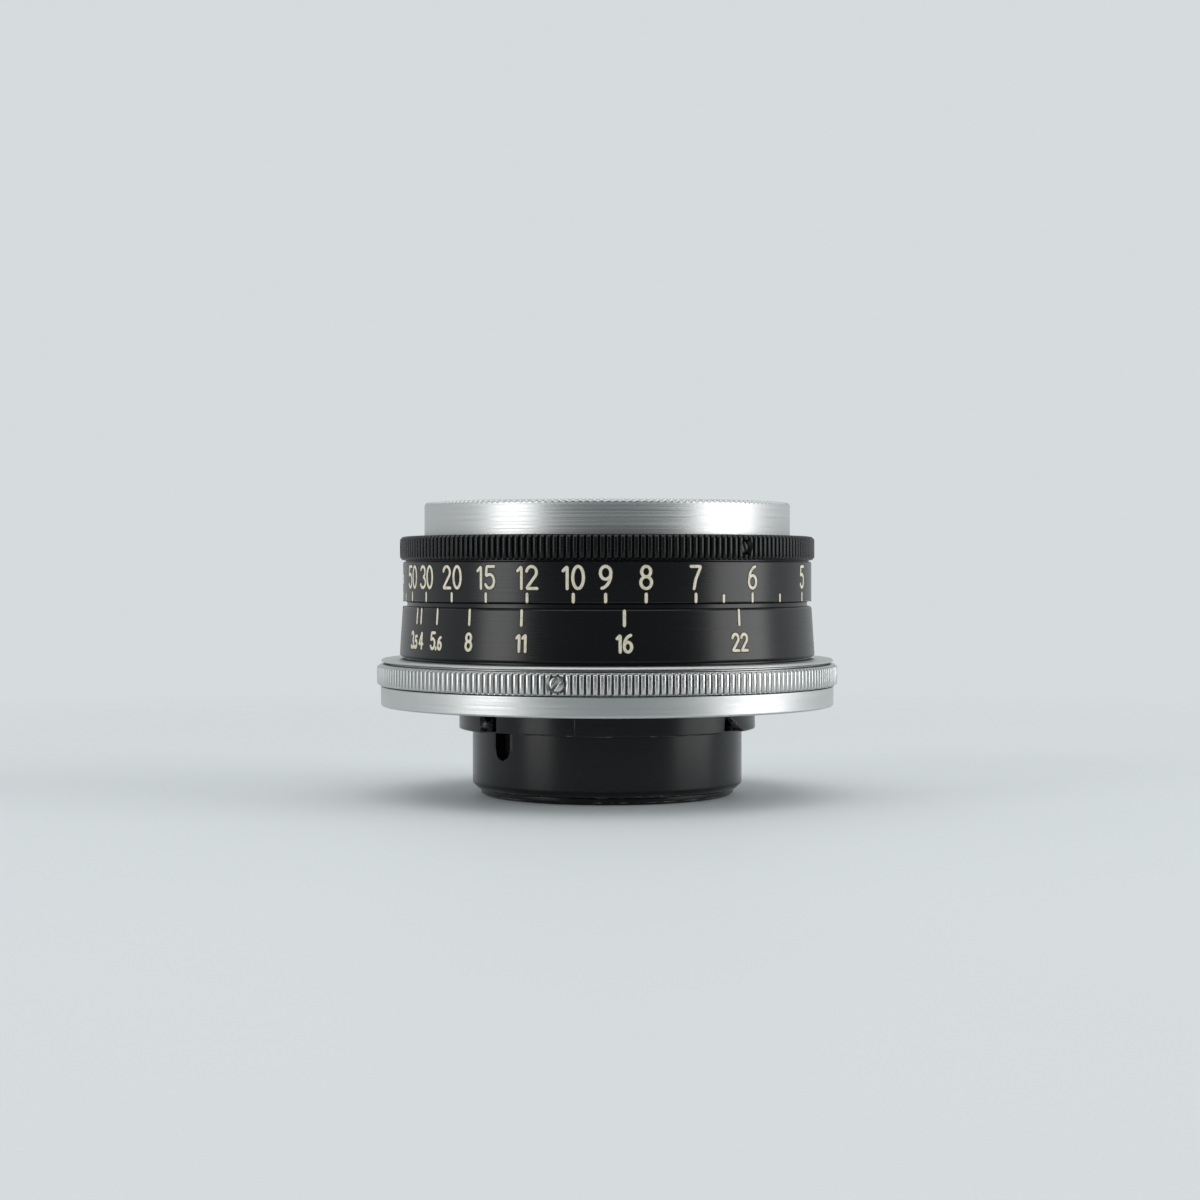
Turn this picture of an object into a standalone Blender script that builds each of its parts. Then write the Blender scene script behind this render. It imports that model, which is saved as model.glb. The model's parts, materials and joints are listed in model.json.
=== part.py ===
"""Wide-angle lens for a rangefinder camera: a bayonet mount, a focusing ring, a keyed optical head and an iris.

The lens stands on its rear rim with its axis along +Z and the origin at the centre of that rim.
Sizes below are in millimetres and degrees. Every piece is one object, and each moving group hangs
from an empty on its own axis.
"""

import math

import bmesh
import bpy
from mathutils import Matrix, Vector

MM = 0.001
OUTER_STEPS = 40
INNER_STEPS = 24
ROUND_STEPS = 12
ARC_STEP_DEG = 7.5
CAP_STEP_DEG = 30.0

# Fits
CLEARANCE = 0.3
CHAMFER = 0.3
CUT_MARGIN = 1.0

# Rear rim, barrel and bayonet
RIM_STEP = 1.05
RIM_WALL = 1.85
RIM_HEIGHT = 0.6
BARREL_RADIUS = 16.6
BARREL_WALL = 1.6
BARREL_CHAMFER = 0.66
LUG_LOW = 8.17
LUG_HEIGHT = 2.51
LUG_STEP = 1.65
COLLAR_STEP = 0.65
COLLAR_WALL = 1.05
LUG_WIDTH_DEG = 62.0
LUG_START_DEG = (-118.0, -12.0, 64.0)
LUG_GATE_DEG = (-56.0, -50.5)
BARREL_SLOT_DEG = -48.5
BARREL_SLOT_WIDTH = 2.6
BARREL_SLOT_DEPTH = 3.31

# Mount rings
DISC_HEIGHT = 2.28
DISC_STEP = 2.725
SEAT_RELIEF = 0.1
MOUNT_GRIP_STEP = 3.175
MOUNT_GRIP_HEIGHT = 2.44
COVER_DISC_HEIGHT = 0.4
MOUNT_SCREW_RADIUS = 0.8
MOUNT_SCREW_DEG = -11.6
SCREW_COUNT = 3
SCREW_SLOT_WIDTH = 0.35
SCREW_SLOT_DEPTH = 0.5
SCREW_SLOT_TILT_DEG = 35.0

# Scale rings and the focusing grip
SCALE_RADIUS = 25.125
SCALE_WALL = 1.225
SCALE_HEIGHT = 4.7
SCALE_GAP = 0.56
DEPTH_RING_HEIGHT = 6.17
DEPTH_LOW_STEP = 0.425
DEPTH_HIGH_STEP = 0.025
GRIP_STEP = 0.375
GRIP_HEIGHT = 2.83
GRIP_EDGE = 0.4
SET_SCREW_RADIUS = 0.75
SET_SCREW_DEG = 39.0
SET_SCREW_DROP = 1.42

# Focusing thread and guide
FIXED_TUBE_WALL = 1.2
FIXED_FLANGE_STEP = 1.0
NUT_WALL = 1.2
NUT_FLANGE_HEIGHT = 2.2
NUT_FLANGE_SINK = 0.73
NUT_RIM_DROP = 0.16
STOP_SCREW_RADIUS = 0.7
STOP_SCREW_DROP = 7.7
STOP_SCREW_DEG = 180.0
STOP_GROOVE_DEPTH = 0.7
KEY_WIDTH = 2.0
KEY_SHARE = 16.0 / 49.0
KEY_HEIGHT = 4.2
KEY_DEG = (0.0, 180.0)

# Optical head
HEAD_WALL = 1.0
HEAD_WEB_GAP = 0.74
HEAD_WEB_HEIGHT = 1.2
HEAD_TUBE_WALL = 1.3
HEAD_TUBE_LOW = 5.0
HEAD_LEDGE_HEIGHT = 0.9
HEAD_LEDGE_WIDTH = 2.0
IRIS_FLOOR_LOW = 9.3
IRIS_FLOOR_HEIGHT = 0.8
IRIS_WALL = 1.0
IRIS_HEAD_ROOM = 0.6
UNIT_RING_WIDTH = 1.2
UNIT_RING_HEIGHT = 1.0
REAR_COLLAR_HEIGHT = 2.8
REAR_COLLAR_WALL = 1.0

# Iris
STOP_RADIUS = 4.7
BLADE_COUNT = 8
BLADE_WIDTH = 3.9
BLADE_SPAN_DEG = 115.0
BLADE_THICKNESS = 0.12
BLADE_PITCH = 0.24
BLADE_EDGE_GAP = 0.7
OPEN_F_NUMBER = 3.5
REST_F_NUMBER = 8.0
CAM_HEIGHT = 0.5
CAM_BORE_STEP = 0.5
CAM_SLOT_WIDTH = 0.8
CAM_SLOT_LENGTH = 2.8
CAM_TURN_OPEN_DEG = 54.0
CAM_TURN_CLOSE_DEG = 28.0
ARM_DEG = 90.0
ARM_WIDTH = 3.0
ARM_THICKNESS = 0.5
ARM_REACH = 1.4
ARM_OFFSET = 0.7

# Glass: curves are surface radii, positive where the surface swells towards +Z
GLASS_POINTS = 6
GLASS_RING_HEIGHT = 0.5
GLASS_RING_WIDTH = 0.8
CELL_LIP_HEIGHT = 0.4
CELL_LIP_WIDTH = 0.8
REAR_GLASS_RADIUS = 5.0
REAR_CELL_WALL = 1.5
REAR_CELL_HEIGHT = 4.6
REAR_HOLLOW_EDGE = 1.94
REAR_CROWN_EDGE = 0.375
REAR_HOLLOW_CURVE = -30.0
REAR_JOINT_CURVE = 14.0
REAR_LAST_CURVE = -15.0
SECOND_GLASS_RADIUS = 5.2
SECOND_EDGE = 2.2
SECOND_CURVE = 18.0
FRONT_GLASS_RADIUS = 6.5
FRONT_EDGE = 0.75
FRONT_CURVE = 12.0
FRONT_BACK_CURVE = 40.0
FRONT_CELL_WALL = 1.4
FRONT_FLANGE_HEIGHT = 0.6

# Front ring and baffle
FRONT_RING_STEP = 2.625
FRONT_RING_RISE = 4.17
FRONT_RING_WALL = 1.0
FRONT_FLOOR_HEIGHT = 0.7
SKIRT_WALL = 0.55
SKIRT_DROP = 2.2
CONE_WALL = 0.8
CONE_THROAT_STEP = 0.5
CONE_THROAT_HEIGHT = 0.6
CONE_LIP_HEIGHT = 0.6
CONE_LIP_STEP = 2.1
CONE_MOUTH_STEP = 4.0

# Radii that follow from the fits
grip_radius = SCALE_RADIUS + GRIP_STEP
disc_radius = SCALE_RADIUS + DISC_STEP
mount_grip_radius = SCALE_RADIUS + MOUNT_GRIP_STEP
front_ring_radius = SCALE_RADIUS - FRONT_RING_STEP
front_ring_bore = front_ring_radius - FRONT_RING_WALL
cone_lip_radius = front_ring_bore - CONE_LIP_STEP
cone_mouth_radius = front_ring_bore - CONE_MOUTH_STEP
scale_bore = SCALE_RADIUS - SCALE_WALL
fixed_radius = scale_bore - CLEARANCE
fixed_bore = fixed_radius - FIXED_TUBE_WALL
fixed_flange_radius = fixed_radius + FIXED_FLANGE_STEP
nut_radius = fixed_bore - CLEARANCE
nut_bore = nut_radius - NUT_WALL
head_radius = nut_bore - CLEARANCE
head_bore = head_radius - HEAD_WALL
skirt_radius = head_bore - CLEARANCE
skirt_bore = skirt_radius - SKIRT_WALL
rim_radius = BARREL_RADIUS - RIM_STEP
rim_bore = rim_radius - RIM_WALL
lug_radius = BARREL_RADIUS + LUG_STEP
collar_radius = BARREL_RADIUS + COLLAR_STEP
seat_radius = lug_radius + CLEARANCE
barrel_bore = BARREL_RADIUS - BARREL_WALL
collar_bore = collar_radius - COLLAR_WALL
spigot_radius = collar_bore - CLEARANCE
head_tube_radius = barrel_bore - CLEARANCE
head_tube_bore = head_tube_radius - HEAD_TUBE_WALL
unit_radius = head_tube_bore - CLEARANCE
blade_mid_radius = STOP_RADIUS + BLADE_WIDTH / 2
iris_bore = STOP_RADIUS + BLADE_WIDTH + BLADE_EDGE_GAP
iris_radius = iris_bore + IRIS_WALL
cam_radius = iris_bore - CLEARANCE
rear_cell_bore = REAR_GLASS_RADIUS + CLEARANCE
rear_cell_radius = rear_cell_bore + REAR_CELL_WALL
front_cell_bore = FRONT_GLASS_RADIUS + CLEARANCE
front_cell_radius = front_cell_bore + FRONT_CELL_WALL
key_length = (head_bore - head_tube_radius) * KEY_SHARE
key_near = (head_tube_radius + head_bore - key_length) / 2
key_far = key_near + key_length

# Heights that follow from the fits, from the rear rim upwards
barrel_low = RIM_HEIGHT + CLEARANCE
barrel_shoulder = LUG_LOW - CLEARANCE
lug_high = LUG_LOW + LUG_HEIGHT
disc_low = lug_high + CLEARANCE
disc_high = disc_low + DISC_HEIGHT
mount_grip_low = disc_high + CLEARANCE
mount_grip_high = mount_grip_low + MOUNT_GRIP_HEIGHT
cover_low = mount_grip_high + CLEARANCE
cover_high = cover_low + COVER_DISC_HEIGHT
depth_low = cover_high + CLEARANCE
depth_high = depth_low + DEPTH_RING_HEIGHT
scale_low = depth_high + SCALE_GAP
scale_high = scale_low + SCALE_HEIGHT
grip_low = scale_high + CLEARANCE
grip_high = grip_low + GRIP_HEIGHT
fixed_high = scale_high - NUT_FLANGE_SINK
stop_screw_height = fixed_high - STOP_SCREW_DROP
nut_flange_low = fixed_high + CLEARANCE
nut_flange_high = nut_flange_low + NUT_FLANGE_HEIGHT
front_ring_high = grip_high + FRONT_RING_RISE
front_floor_low = nut_flange_high + CLEARANCE
front_floor_high = front_floor_low + FRONT_FLOOR_HEIGHT
skirt_low = front_floor_low - SKIRT_DROP
cone_lip_low = front_floor_high + CLEARANCE
cone_lip_high = cone_lip_low + CONE_LIP_HEIGHT

# Heights inside the head
head_high = front_floor_low - CLEARANCE
web_low = disc_high + HEAD_WEB_GAP
web_high = web_low + HEAD_WEB_HEIGHT
nut_low = web_low + CLEARANCE
ledge_high = IRIS_FLOOR_LOW - CLEARANCE
iris_floor_high = IRIS_FLOOR_LOW + IRIS_FLOOR_HEIGHT
blade_low = iris_floor_high + CLEARANCE
cam_low = blade_low + (BLADE_COUNT - 1) * BLADE_PITCH + BLADE_THICKNESS + CLEARANCE
cam_high = cam_low + CAM_HEIGHT
arm_low = cam_high + CLEARANCE
arm_high = arm_low + ARM_THICKNESS
arm_leg_low = web_high + CLEARANCE
arm_leg_high = arm_leg_low + ARM_THICKNESS
iris_high = arm_high + CLEARANCE + IRIS_HEAD_ROOM
rear_cell_high = IRIS_FLOOR_LOW - CLEARANCE
front_cell_low = arm_high + CLEARANCE
front_flange_low = iris_high + CLEARANCE
front_flange_high = front_flange_low + FRONT_FLANGE_HEIGHT

FINISHES = {
    "satin_chrome": ((0.66, 0.68, 0.69), 0.28, 1.0),
    "black_enamel": ((0.013, 0.014, 0.015), 0.32, 0.0),
    "black_anodised": ((0.018, 0.020, 0.021), 0.38, 0.3),
    "matt_black": ((0.008, 0.008, 0.008), 0.75, 0.0),
    "brass": ((0.60, 0.44, 0.20), 0.35, 1.0),
    "blued_steel": ((0.045, 0.050, 0.060), 0.35, 1.0),
    "bright_steel": ((0.60, 0.60, 0.59), 0.25, 1.0),
    "coated_glass": ((0.75, 0.80, 0.90), 0.03, 0.0),
}


def reset_scene():
    """Remove every object and collection of the open scene."""
    for item in list(bpy.data.objects):
        bpy.data.objects.remove(item, do_unlink=True)
    for group in list(bpy.data.collections):
        bpy.data.collections.remove(group)


def add_collection(name):
    """Link a new collection to the scene."""
    group = bpy.data.collections.new(name)
    bpy.context.scene.collection.children.link(group)
    return group


def make_material(name, colour, roughness, metallic):
    """A Principled material of one colour, roughness and metallic value."""
    made = bpy.data.materials.new(name)
    made.use_nodes = True
    shader = made.node_tree.nodes["Principled BSDF"]
    shader.inputs["Base Color"].default_value = (*colour, 1.0)
    shader.inputs["Roughness"].default_value = roughness
    shader.inputs["Metallic"].default_value = metallic
    made.diffuse_color = (*colour, 1.0)
    return made


def add_empty(name, parent=None, place=(0.0, 0.0, 0.0)):
    """An empty that stands on a body's axis; place is in millimetres."""
    axis = bpy.data.objects.new(name, None)
    axis.location = Vector(place) * MM
    axis.parent = parent
    axis.empty_display_size = 5 * MM
    pieces.objects.link(axis)
    return axis


def add_piece(name, mesh, body, finish):
    """Link one named piece with its own material under its body's empty."""
    item = bpy.data.objects.new(name, mesh)
    colour, roughness, metallic = FINISHES[finish]
    mesh.materials.append(make_material(name + "_" + finish, colour, roughness, metallic))
    item.parent = body
    pieces.objects.link(item)
    return item


def add_cutter(name, mesh):
    """Link a shape that only cuts others."""
    item = bpy.data.objects.new(name, mesh)
    item.hide_render = True
    item.display_type = "WIRE"
    cutters.objects.link(item)
    return item


def cut(target, name, mesh):
    """Take a cutter of this shape out of the target."""
    step = target.modifiers.new("cut_" + name, "BOOLEAN")
    step.operation = "DIFFERENCE"
    step.solver = "EXACT"
    step.object = add_cutter(name, mesh)


def profile_mesh(name, profile):
    """Edges through (radius, height) points; the loop closes unless its ends lie on the axis."""
    points = [(radius * MM, 0.0, height * MM) for radius, height in profile]
    edges = [(i, i + 1) for i in range(len(points) - 1)]
    if profile[0][0] > 0.0:
        edges.append((len(points) - 1, 0))
    mesh = bpy.data.meshes.new(name)
    mesh.from_pydata(points, edges, [])
    return mesh


def turned(name, profile, body, finish, steps=INNER_STEPS):
    """A turned piece; the profile runs down its outer side, then back up its bore."""
    item = add_piece(name, profile_mesh(name, profile), body, finish)
    turn = item.modifiers.new("turn", "SCREW")
    turn.steps = steps
    turn.render_steps = steps
    turn.use_merge_vertices = True
    turn.merge_threshold = 0.00001
    turn.use_smooth_shade = True
    return item


def tube_profile(radius, bore, low, high, edge=0.0):
    """Profile of a plain tube whose outer corners lose a chamfer of the given size."""
    outer = [(radius, high), (radius, low)]
    if edge > 0.0:
        outer = [(radius - edge, high), (radius, high - edge), (radius, low + edge), (radius - edge, low)]
    return outer + [(bore, low), (bore, high)]


def sag(curve, edge_radius, radius):
    """Height of a spherical surface above its own edge, at a radius from the axis."""
    size = abs(curve)
    rise = math.sqrt(size**2 - radius**2) - math.sqrt(size**2 - edge_radius**2)
    return math.copysign(rise, curve)


def add_glass(name, radius, low, high, low_curve, high_curve):
    """A lens element between two spherical surfaces; low and high are its edge's heights."""
    steps = [radius * i / GLASS_POINTS for i in range(GLASS_POINTS + 1)]
    top = [(r, high + sag(high_curve, radius, r)) for r in steps]
    base = [(r, low + sag(low_curve, radius, r)) for r in reversed(steps)]
    return turned(name, top + base, head, "coated_glass")


def arc(radius, start_deg, end_deg, centre=(0.0, 0.0), step_deg=ARC_STEP_DEG):
    """Points along an arc, ends included."""
    count = max(2, math.ceil(abs(end_deg - start_deg) / step_deg))
    angles = [math.radians(start_deg + (end_deg - start_deg) * i / count) for i in range(count + 1)]
    return [(centre[0] + radius * math.cos(a), centre[1] + radius * math.sin(a)) for a in angles]


def plate_mesh(name, outline, low, high):
    """A flat closed outline in XY, given the thickness between two heights."""
    curve = bpy.data.curves.new(name, "CURVE")
    curve.dimensions = "2D"
    curve.fill_mode = "BOTH"
    curve.extrude = (high - low) / 2 * MM
    spline = curve.splines.new("POLY")
    spline.points.add(len(outline) - 1)
    for point, (x, y) in zip(spline.points, outline):
        point.co = (x * MM, y * MM, 0.0, 1.0)
    spline.use_cyclic_u = True
    holder = bpy.data.objects.new(name + "_outline", curve)
    cutters.objects.link(holder)
    evaluated = holder.evaluated_get(bpy.context.evaluated_depsgraph_get())
    mesh = bpy.data.meshes.new_from_object(evaluated)
    bpy.data.objects.remove(holder, do_unlink=True)
    solid = bmesh.new()
    solid.from_mesh(mesh)
    bmesh.ops.remove_doubles(solid, verts=solid.verts, dist=0.000001)
    bmesh.ops.recalc_face_normals(solid, faces=solid.faces)
    solid.to_mesh(mesh)
    solid.free()
    mesh.name = name
    mesh.transform(Matrix.Translation((0.0, 0.0, (low + high) / 2 * MM)))
    return mesh


def sector_mesh(name, bore, radius, start_deg, end_deg, low, high):
    """The part of a thick ring between two angles."""
    outline = arc(radius, start_deg, end_deg) + arc(bore, end_deg, start_deg)
    return plate_mesh(name, outline, low, high)


def front_angle(angle_deg):
    """Angle about +Z of a mark that stands so far to the right of the lens's front side, -Y."""
    return angle_deg - 90.0


def radial_mesh(name, radius, near, far, height, angle_deg):
    """A round bar that points away from the axis, from one radius to another."""
    solid = bmesh.new()
    bmesh.ops.create_cone(
        solid,
        cap_ends=True,
        segments=ROUND_STEPS,
        radius1=radius * MM,
        radius2=radius * MM,
        depth=(far - near) * MM,
    )
    mesh = bpy.data.meshes.new(name)
    solid.to_mesh(mesh)
    solid.free()
    mesh.transform(Matrix.Translation((0.0, 0.0, (near + far) / 2 * MM)))
    mesh.transform(Matrix.Rotation(math.radians(90.0), 4, "Y"))
    mesh.transform(Matrix.Rotation(math.radians(angle_deg), 4, "Z"))
    mesh.transform(Matrix.Translation((0.0, 0.0, height * MM)))
    return mesh


def box_mesh(name, near, far, width, low, high, angle_deg, tilt_deg=0.0, height=0.0):
    """A block between two radii and two heights, tilted about its radius, then turned and raised."""
    solid = bmesh.new()
    bmesh.ops.create_cube(solid, size=MM)
    bmesh.ops.scale(solid, vec=(far - near, width, high - low), verts=solid.verts)
    mesh = bpy.data.meshes.new(name)
    solid.to_mesh(mesh)
    solid.free()
    mesh.transform(Matrix.Translation(Vector(((near + far) / 2, 0.0, (low + high) / 2)) * MM))
    mesh.transform(Matrix.Rotation(math.radians(tilt_deg), 4, "X"))
    mesh.transform(Matrix.Rotation(math.radians(angle_deg), 4, "Z"))
    mesh.transform(Matrix.Translation((0.0, 0.0, height * MM)))
    return mesh


def add_screw(name, wall, radius, near, far, height, angle_deg, body, finish):
    """A radial screw with a slot across its outer end, and its clearance hole through the wall."""
    hole = radial_mesh(name + "_hole", radius + CLEARANCE, near - CUT_MARGIN, far + CUT_MARGIN, height, angle_deg)
    cut(wall, name + "_hole", hole)
    item = add_piece(name, radial_mesh(name, radius, near, far, height, angle_deg), body, finish)
    start = far - SCREW_SLOT_DEPTH
    half = SCREW_SLOT_WIDTH / 2
    tilt = SCREW_SLOT_TILT_DEG
    slot = box_mesh(name + "_slot", start, far + CUT_MARGIN, 3 * radius, -half, half, angle_deg, tilt, height)
    cut(item, name + "_slot", slot)


def build_rear():
    """Rim ring and slotted barrel."""
    rim = [
        (rim_radius, RIM_HEIGHT),
        (rim_radius, RIM_HEIGHT / 2),
        (rim_radius - RIM_HEIGHT / 2, 0.0),
        (rim_bore, 0.0),
        (rim_bore, RIM_HEIGHT),
    ]
    turned("rear_rim_ring", rim, mount, "black_anodised", OUTER_STEPS)
    profile = [
        (spigot_radius, lug_high),
        (spigot_radius, barrel_shoulder),
        (BARREL_RADIUS, barrel_shoulder),
        (BARREL_RADIUS, barrel_low + BARREL_CHAMFER),
        (BARREL_RADIUS - BARREL_CHAMFER, barrel_low),
        (barrel_bore, barrel_low),
        (barrel_bore, lug_high),
    ]
    barrel = turned("rear_barrel", profile, mount, "black_anodised", OUTER_STEPS)
    angle = front_angle(BARREL_SLOT_DEG)
    half = BARREL_SLOT_WIDTH / 2
    bottom = LUG_LOW - BARREL_SLOT_DEPTH + half
    near = barrel_bore - CUT_MARGIN
    far = BARREL_RADIUS + CUT_MARGIN
    cut(barrel, "slot_end", radial_mesh("slot_end", half, near, far, bottom, angle))
    walls = box_mesh("slot_walls", near, far, BARREL_SLOT_WIDTH, bottom, LUG_LOW + CLEARANCE, angle)
    cut(barrel, "slot_walls", walls)


def build_bayonet():
    """A ring cut back between three lugs, with one gate through its whole wall."""
    profile = tube_profile(lug_radius, collar_bore, LUG_LOW, lug_high)
    bayonet = turned("bayonet_ring", profile, mount, "black_anodised", OUTER_STEPS)
    low = LUG_LOW - CUT_MARGIN
    high = lug_high + CUT_MARGIN
    far = lug_radius + CUT_MARGIN
    next_starts = LUG_START_DEG[1:] + (LUG_START_DEG[0] + 360.0,)
    for i, (start, after) in enumerate(zip(LUG_START_DEG, next_starts)):
        name = "lug_gap_%d" % (i + 1)
        end = front_angle(start + LUG_WIDTH_DEG)
        cut(bayonet, name, sector_mesh(name, collar_radius, far, end, front_angle(after), low, high))
    start, end = (front_angle(angle) for angle in LUG_GATE_DEG)
    near = collar_bore - CUT_MARGIN
    cut(bayonet, "lug_gate", sector_mesh("lug_gate", near, far, start, end, low, high))


def build_mount_rings():
    """Plain disc, knurled mount ring with its screws, and the thin cover disc."""
    edge = CHAMFER / 2
    disc_bore = head_tube_radius + 2 * CLEARANCE
    disc = [
        (disc_radius, disc_high),
        (disc_radius, disc_low + edge),
        (disc_radius - edge, disc_low),
        (seat_radius, disc_low),
        (seat_radius, disc_low + SEAT_RELIEF),
        (disc_bore, disc_low + SEAT_RELIEF),
        (disc_bore, disc_high),
    ]
    turned("mount_disc", disc, mount, "satin_chrome", OUTER_STEPS)
    grip_bore = fixed_flange_radius + CLEARANCE
    profile = tube_profile(mount_grip_radius, grip_bore, mount_grip_low, mount_grip_high, CHAMFER)
    grip = turned("mount_grip_ring", profile, mount, "satin_chrome", OUTER_STEPS)
    height = (mount_grip_low + mount_grip_high) / 2
    far = mount_grip_radius - CHAMFER
    for i in range(SCREW_COUNT):
        angle = front_angle(MOUNT_SCREW_DEG + 360.0 * i / SCREW_COUNT)
        name = "mount_grip_screw_%d" % (i + 1)
        add_screw(name, grip, MOUNT_SCREW_RADIUS, grip_bore, far, height, angle, mount, "bright_steel")
    cover = tube_profile(disc_radius, scale_bore, cover_low, cover_high)
    turned("cover_disc", cover, mount, "satin_chrome", OUTER_STEPS)


def build_fixed_thread():
    """Fixed threaded tube with its stop screw, and the two upright keys that guide the head."""
    profile = [
        (fixed_radius, fixed_high),
        (fixed_radius, mount_grip_high),
        (fixed_flange_radius, mount_grip_high),
        (fixed_flange_radius, mount_grip_low),
        (fixed_bore, mount_grip_low),
        (fixed_bore, fixed_high),
    ]
    tube = turned("fixed_helicoid", profile, mount, "brass", OUTER_STEPS)
    near = nut_radius - STOP_GROOVE_DEPTH + CLEARANCE
    angle = front_angle(STOP_SCREW_DEG)
    add_screw(
        "focus_stop_screw",
        tube,
        STOP_SCREW_RADIUS,
        near,
        fixed_radius,
        stop_screw_height,
        angle,
        mount,
        "bright_steel",
    )
    low = disc_high + CLEARANCE
    for i, angle in enumerate(KEY_DEG):
        name = "guide_key_%d" % (i + 1)
        block = box_mesh(name, key_near, key_far, KEY_WIDTH, low, low + KEY_HEIGHT, angle)
        add_piece(name, block, mount, "bright_steel")


def build_depth_ring():
    """Depth-of-field ring, a gentle cone around the fixed thread."""
    low_radius = SCALE_RADIUS + DEPTH_LOW_STEP
    high_radius = SCALE_RADIUS + DEPTH_HIGH_STEP
    profile = [
        (high_radius - CHAMFER, depth_high),
        (high_radius, depth_high - CHAMFER),
        (low_radius, depth_low),
        (scale_bore, depth_low),
        (scale_bore, depth_high),
    ]
    turned("depth_scale_ring", profile, mount, "black_enamel", OUTER_STEPS)


def build_focus_ring():
    """Distance scale sleeve, knurled grip with its set screws, and the threaded nut."""
    profile = tube_profile(SCALE_RADIUS, scale_bore, scale_low, scale_high, CHAMFER / 2)
    turned("distance_scale_ring", profile, focus, "black_enamel", OUTER_STEPS)
    profile = tube_profile(grip_radius, scale_bore, grip_low, grip_high, GRIP_EDGE)
    grip = turned("focus_grip", profile, focus, "black_enamel", OUTER_STEPS)
    height = grip_high - SET_SCREW_DROP
    far = grip_radius - GRIP_EDGE
    for i in range(SCREW_COUNT):
        angle = front_angle(SET_SCREW_DEG + 360.0 * i / SCREW_COUNT)
        name = "grip_set_screw_%d" % (i + 1)
        add_screw(name, grip, SET_SCREW_RADIUS, scale_bore, far, height, angle, focus, "blued_steel")
    rim_high = grip_high - NUT_RIM_DROP
    rim_bore = front_ring_radius + CLEARANCE
    groove_radius = nut_radius - STOP_GROOVE_DEPTH
    groove_low = stop_screw_height - STOP_SCREW_RADIUS - CLEARANCE
    groove_high = stop_screw_height + STOP_SCREW_RADIUS + CLEARANCE
    profile = [
        (fixed_radius, rim_high),
        (fixed_radius, nut_flange_low),
        (nut_radius, nut_flange_low),
        (nut_radius, groove_high),
        (groove_radius, groove_high),
        (groove_radius, groove_low),
        (nut_radius, groove_low),
        (nut_radius, nut_low),
        (nut_bore, nut_low),
        (nut_bore, nut_flange_high),
        (rim_bore, nut_flange_high),
        (rim_bore, rim_high),
    ]
    turned("focus_nut", profile, focus, "brass", OUTER_STEPS)


def build_head():
    """The sliding barrel that carries the optical unit, and the ring that locks the unit in."""
    ledge_bore = head_tube_bore - HEAD_LEDGE_WIDTH
    profile = [
        (head_radius, head_high),
        (head_radius, web_low),
        (head_tube_radius, web_low),
        (head_tube_radius, HEAD_TUBE_LOW),
        (head_tube_bore, HEAD_TUBE_LOW),
        (head_tube_bore, ledge_high - HEAD_LEDGE_HEIGHT),
        (ledge_bore, ledge_high - HEAD_LEDGE_HEIGHT),
        (ledge_bore, ledge_high),
        (head_tube_bore, ledge_high),
        (head_tube_bore, web_high),
        (head_bore, web_high),
        (head_bore, head_high),
    ]
    barrel = turned("head_barrel", profile, head, "black_anodised", OUTER_STEPS)
    width = KEY_WIDTH + 2 * CLEARANCE
    near = key_near - CLEARANCE
    far = key_far + CLEARANCE
    for i, angle in enumerate(KEY_DEG):
        name = "keyway_%d" % (i + 1)
        cut(barrel, name, box_mesh(name, near, far, width, web_low - CUT_MARGIN, web_high + CUT_MARGIN, angle))
    low = iris_floor_high + CLEARANCE
    ring = tube_profile(unit_radius, unit_radius - UNIT_RING_WIDTH, low, low + UNIT_RING_HEIGHT)
    turned("unit_locking_ring", ring, head, "matt_black")


def build_iris_housing():
    """Cup around the blades, with a window in its wall for the drive arm."""
    rear_collar_bore = rear_cell_radius + CLEARANCE
    rear_collar_radius = rear_collar_bore + REAR_COLLAR_WALL
    rear_collar_low = IRIS_FLOOR_LOW - REAR_COLLAR_HEIGHT
    profile = [
        (iris_radius, iris_high),
        (iris_radius, iris_floor_high),
        (unit_radius, iris_floor_high),
        (unit_radius, IRIS_FLOOR_LOW),
        (rear_collar_radius, IRIS_FLOOR_LOW),
        (rear_collar_radius, rear_collar_low),
        (rear_collar_bore, rear_collar_low),
        (rear_collar_bore, IRIS_FLOOR_LOW),
        (STOP_RADIUS, IRIS_FLOOR_LOW),
        (STOP_RADIUS, iris_floor_high),
        (iris_bore, iris_floor_high),
        (iris_bore, iris_high),
    ]
    housing = turned("iris_housing", profile, head, "matt_black")
    half_arm = math.degrees(math.asin((ARM_WIDTH / 2 + CLEARANCE) / iris_bore))
    start = ARM_DEG - CAM_TURN_OPEN_DEG - half_arm
    end = ARM_DEG + CAM_TURN_CLOSE_DEG + half_arm
    near = iris_bore - CUT_MARGIN
    far = iris_radius + CUT_MARGIN
    window = sector_mesh("arm_window", near, far, start, end, cam_high, arm_high + CLEARANCE)
    cut(housing, "arm_window", window)


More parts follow.
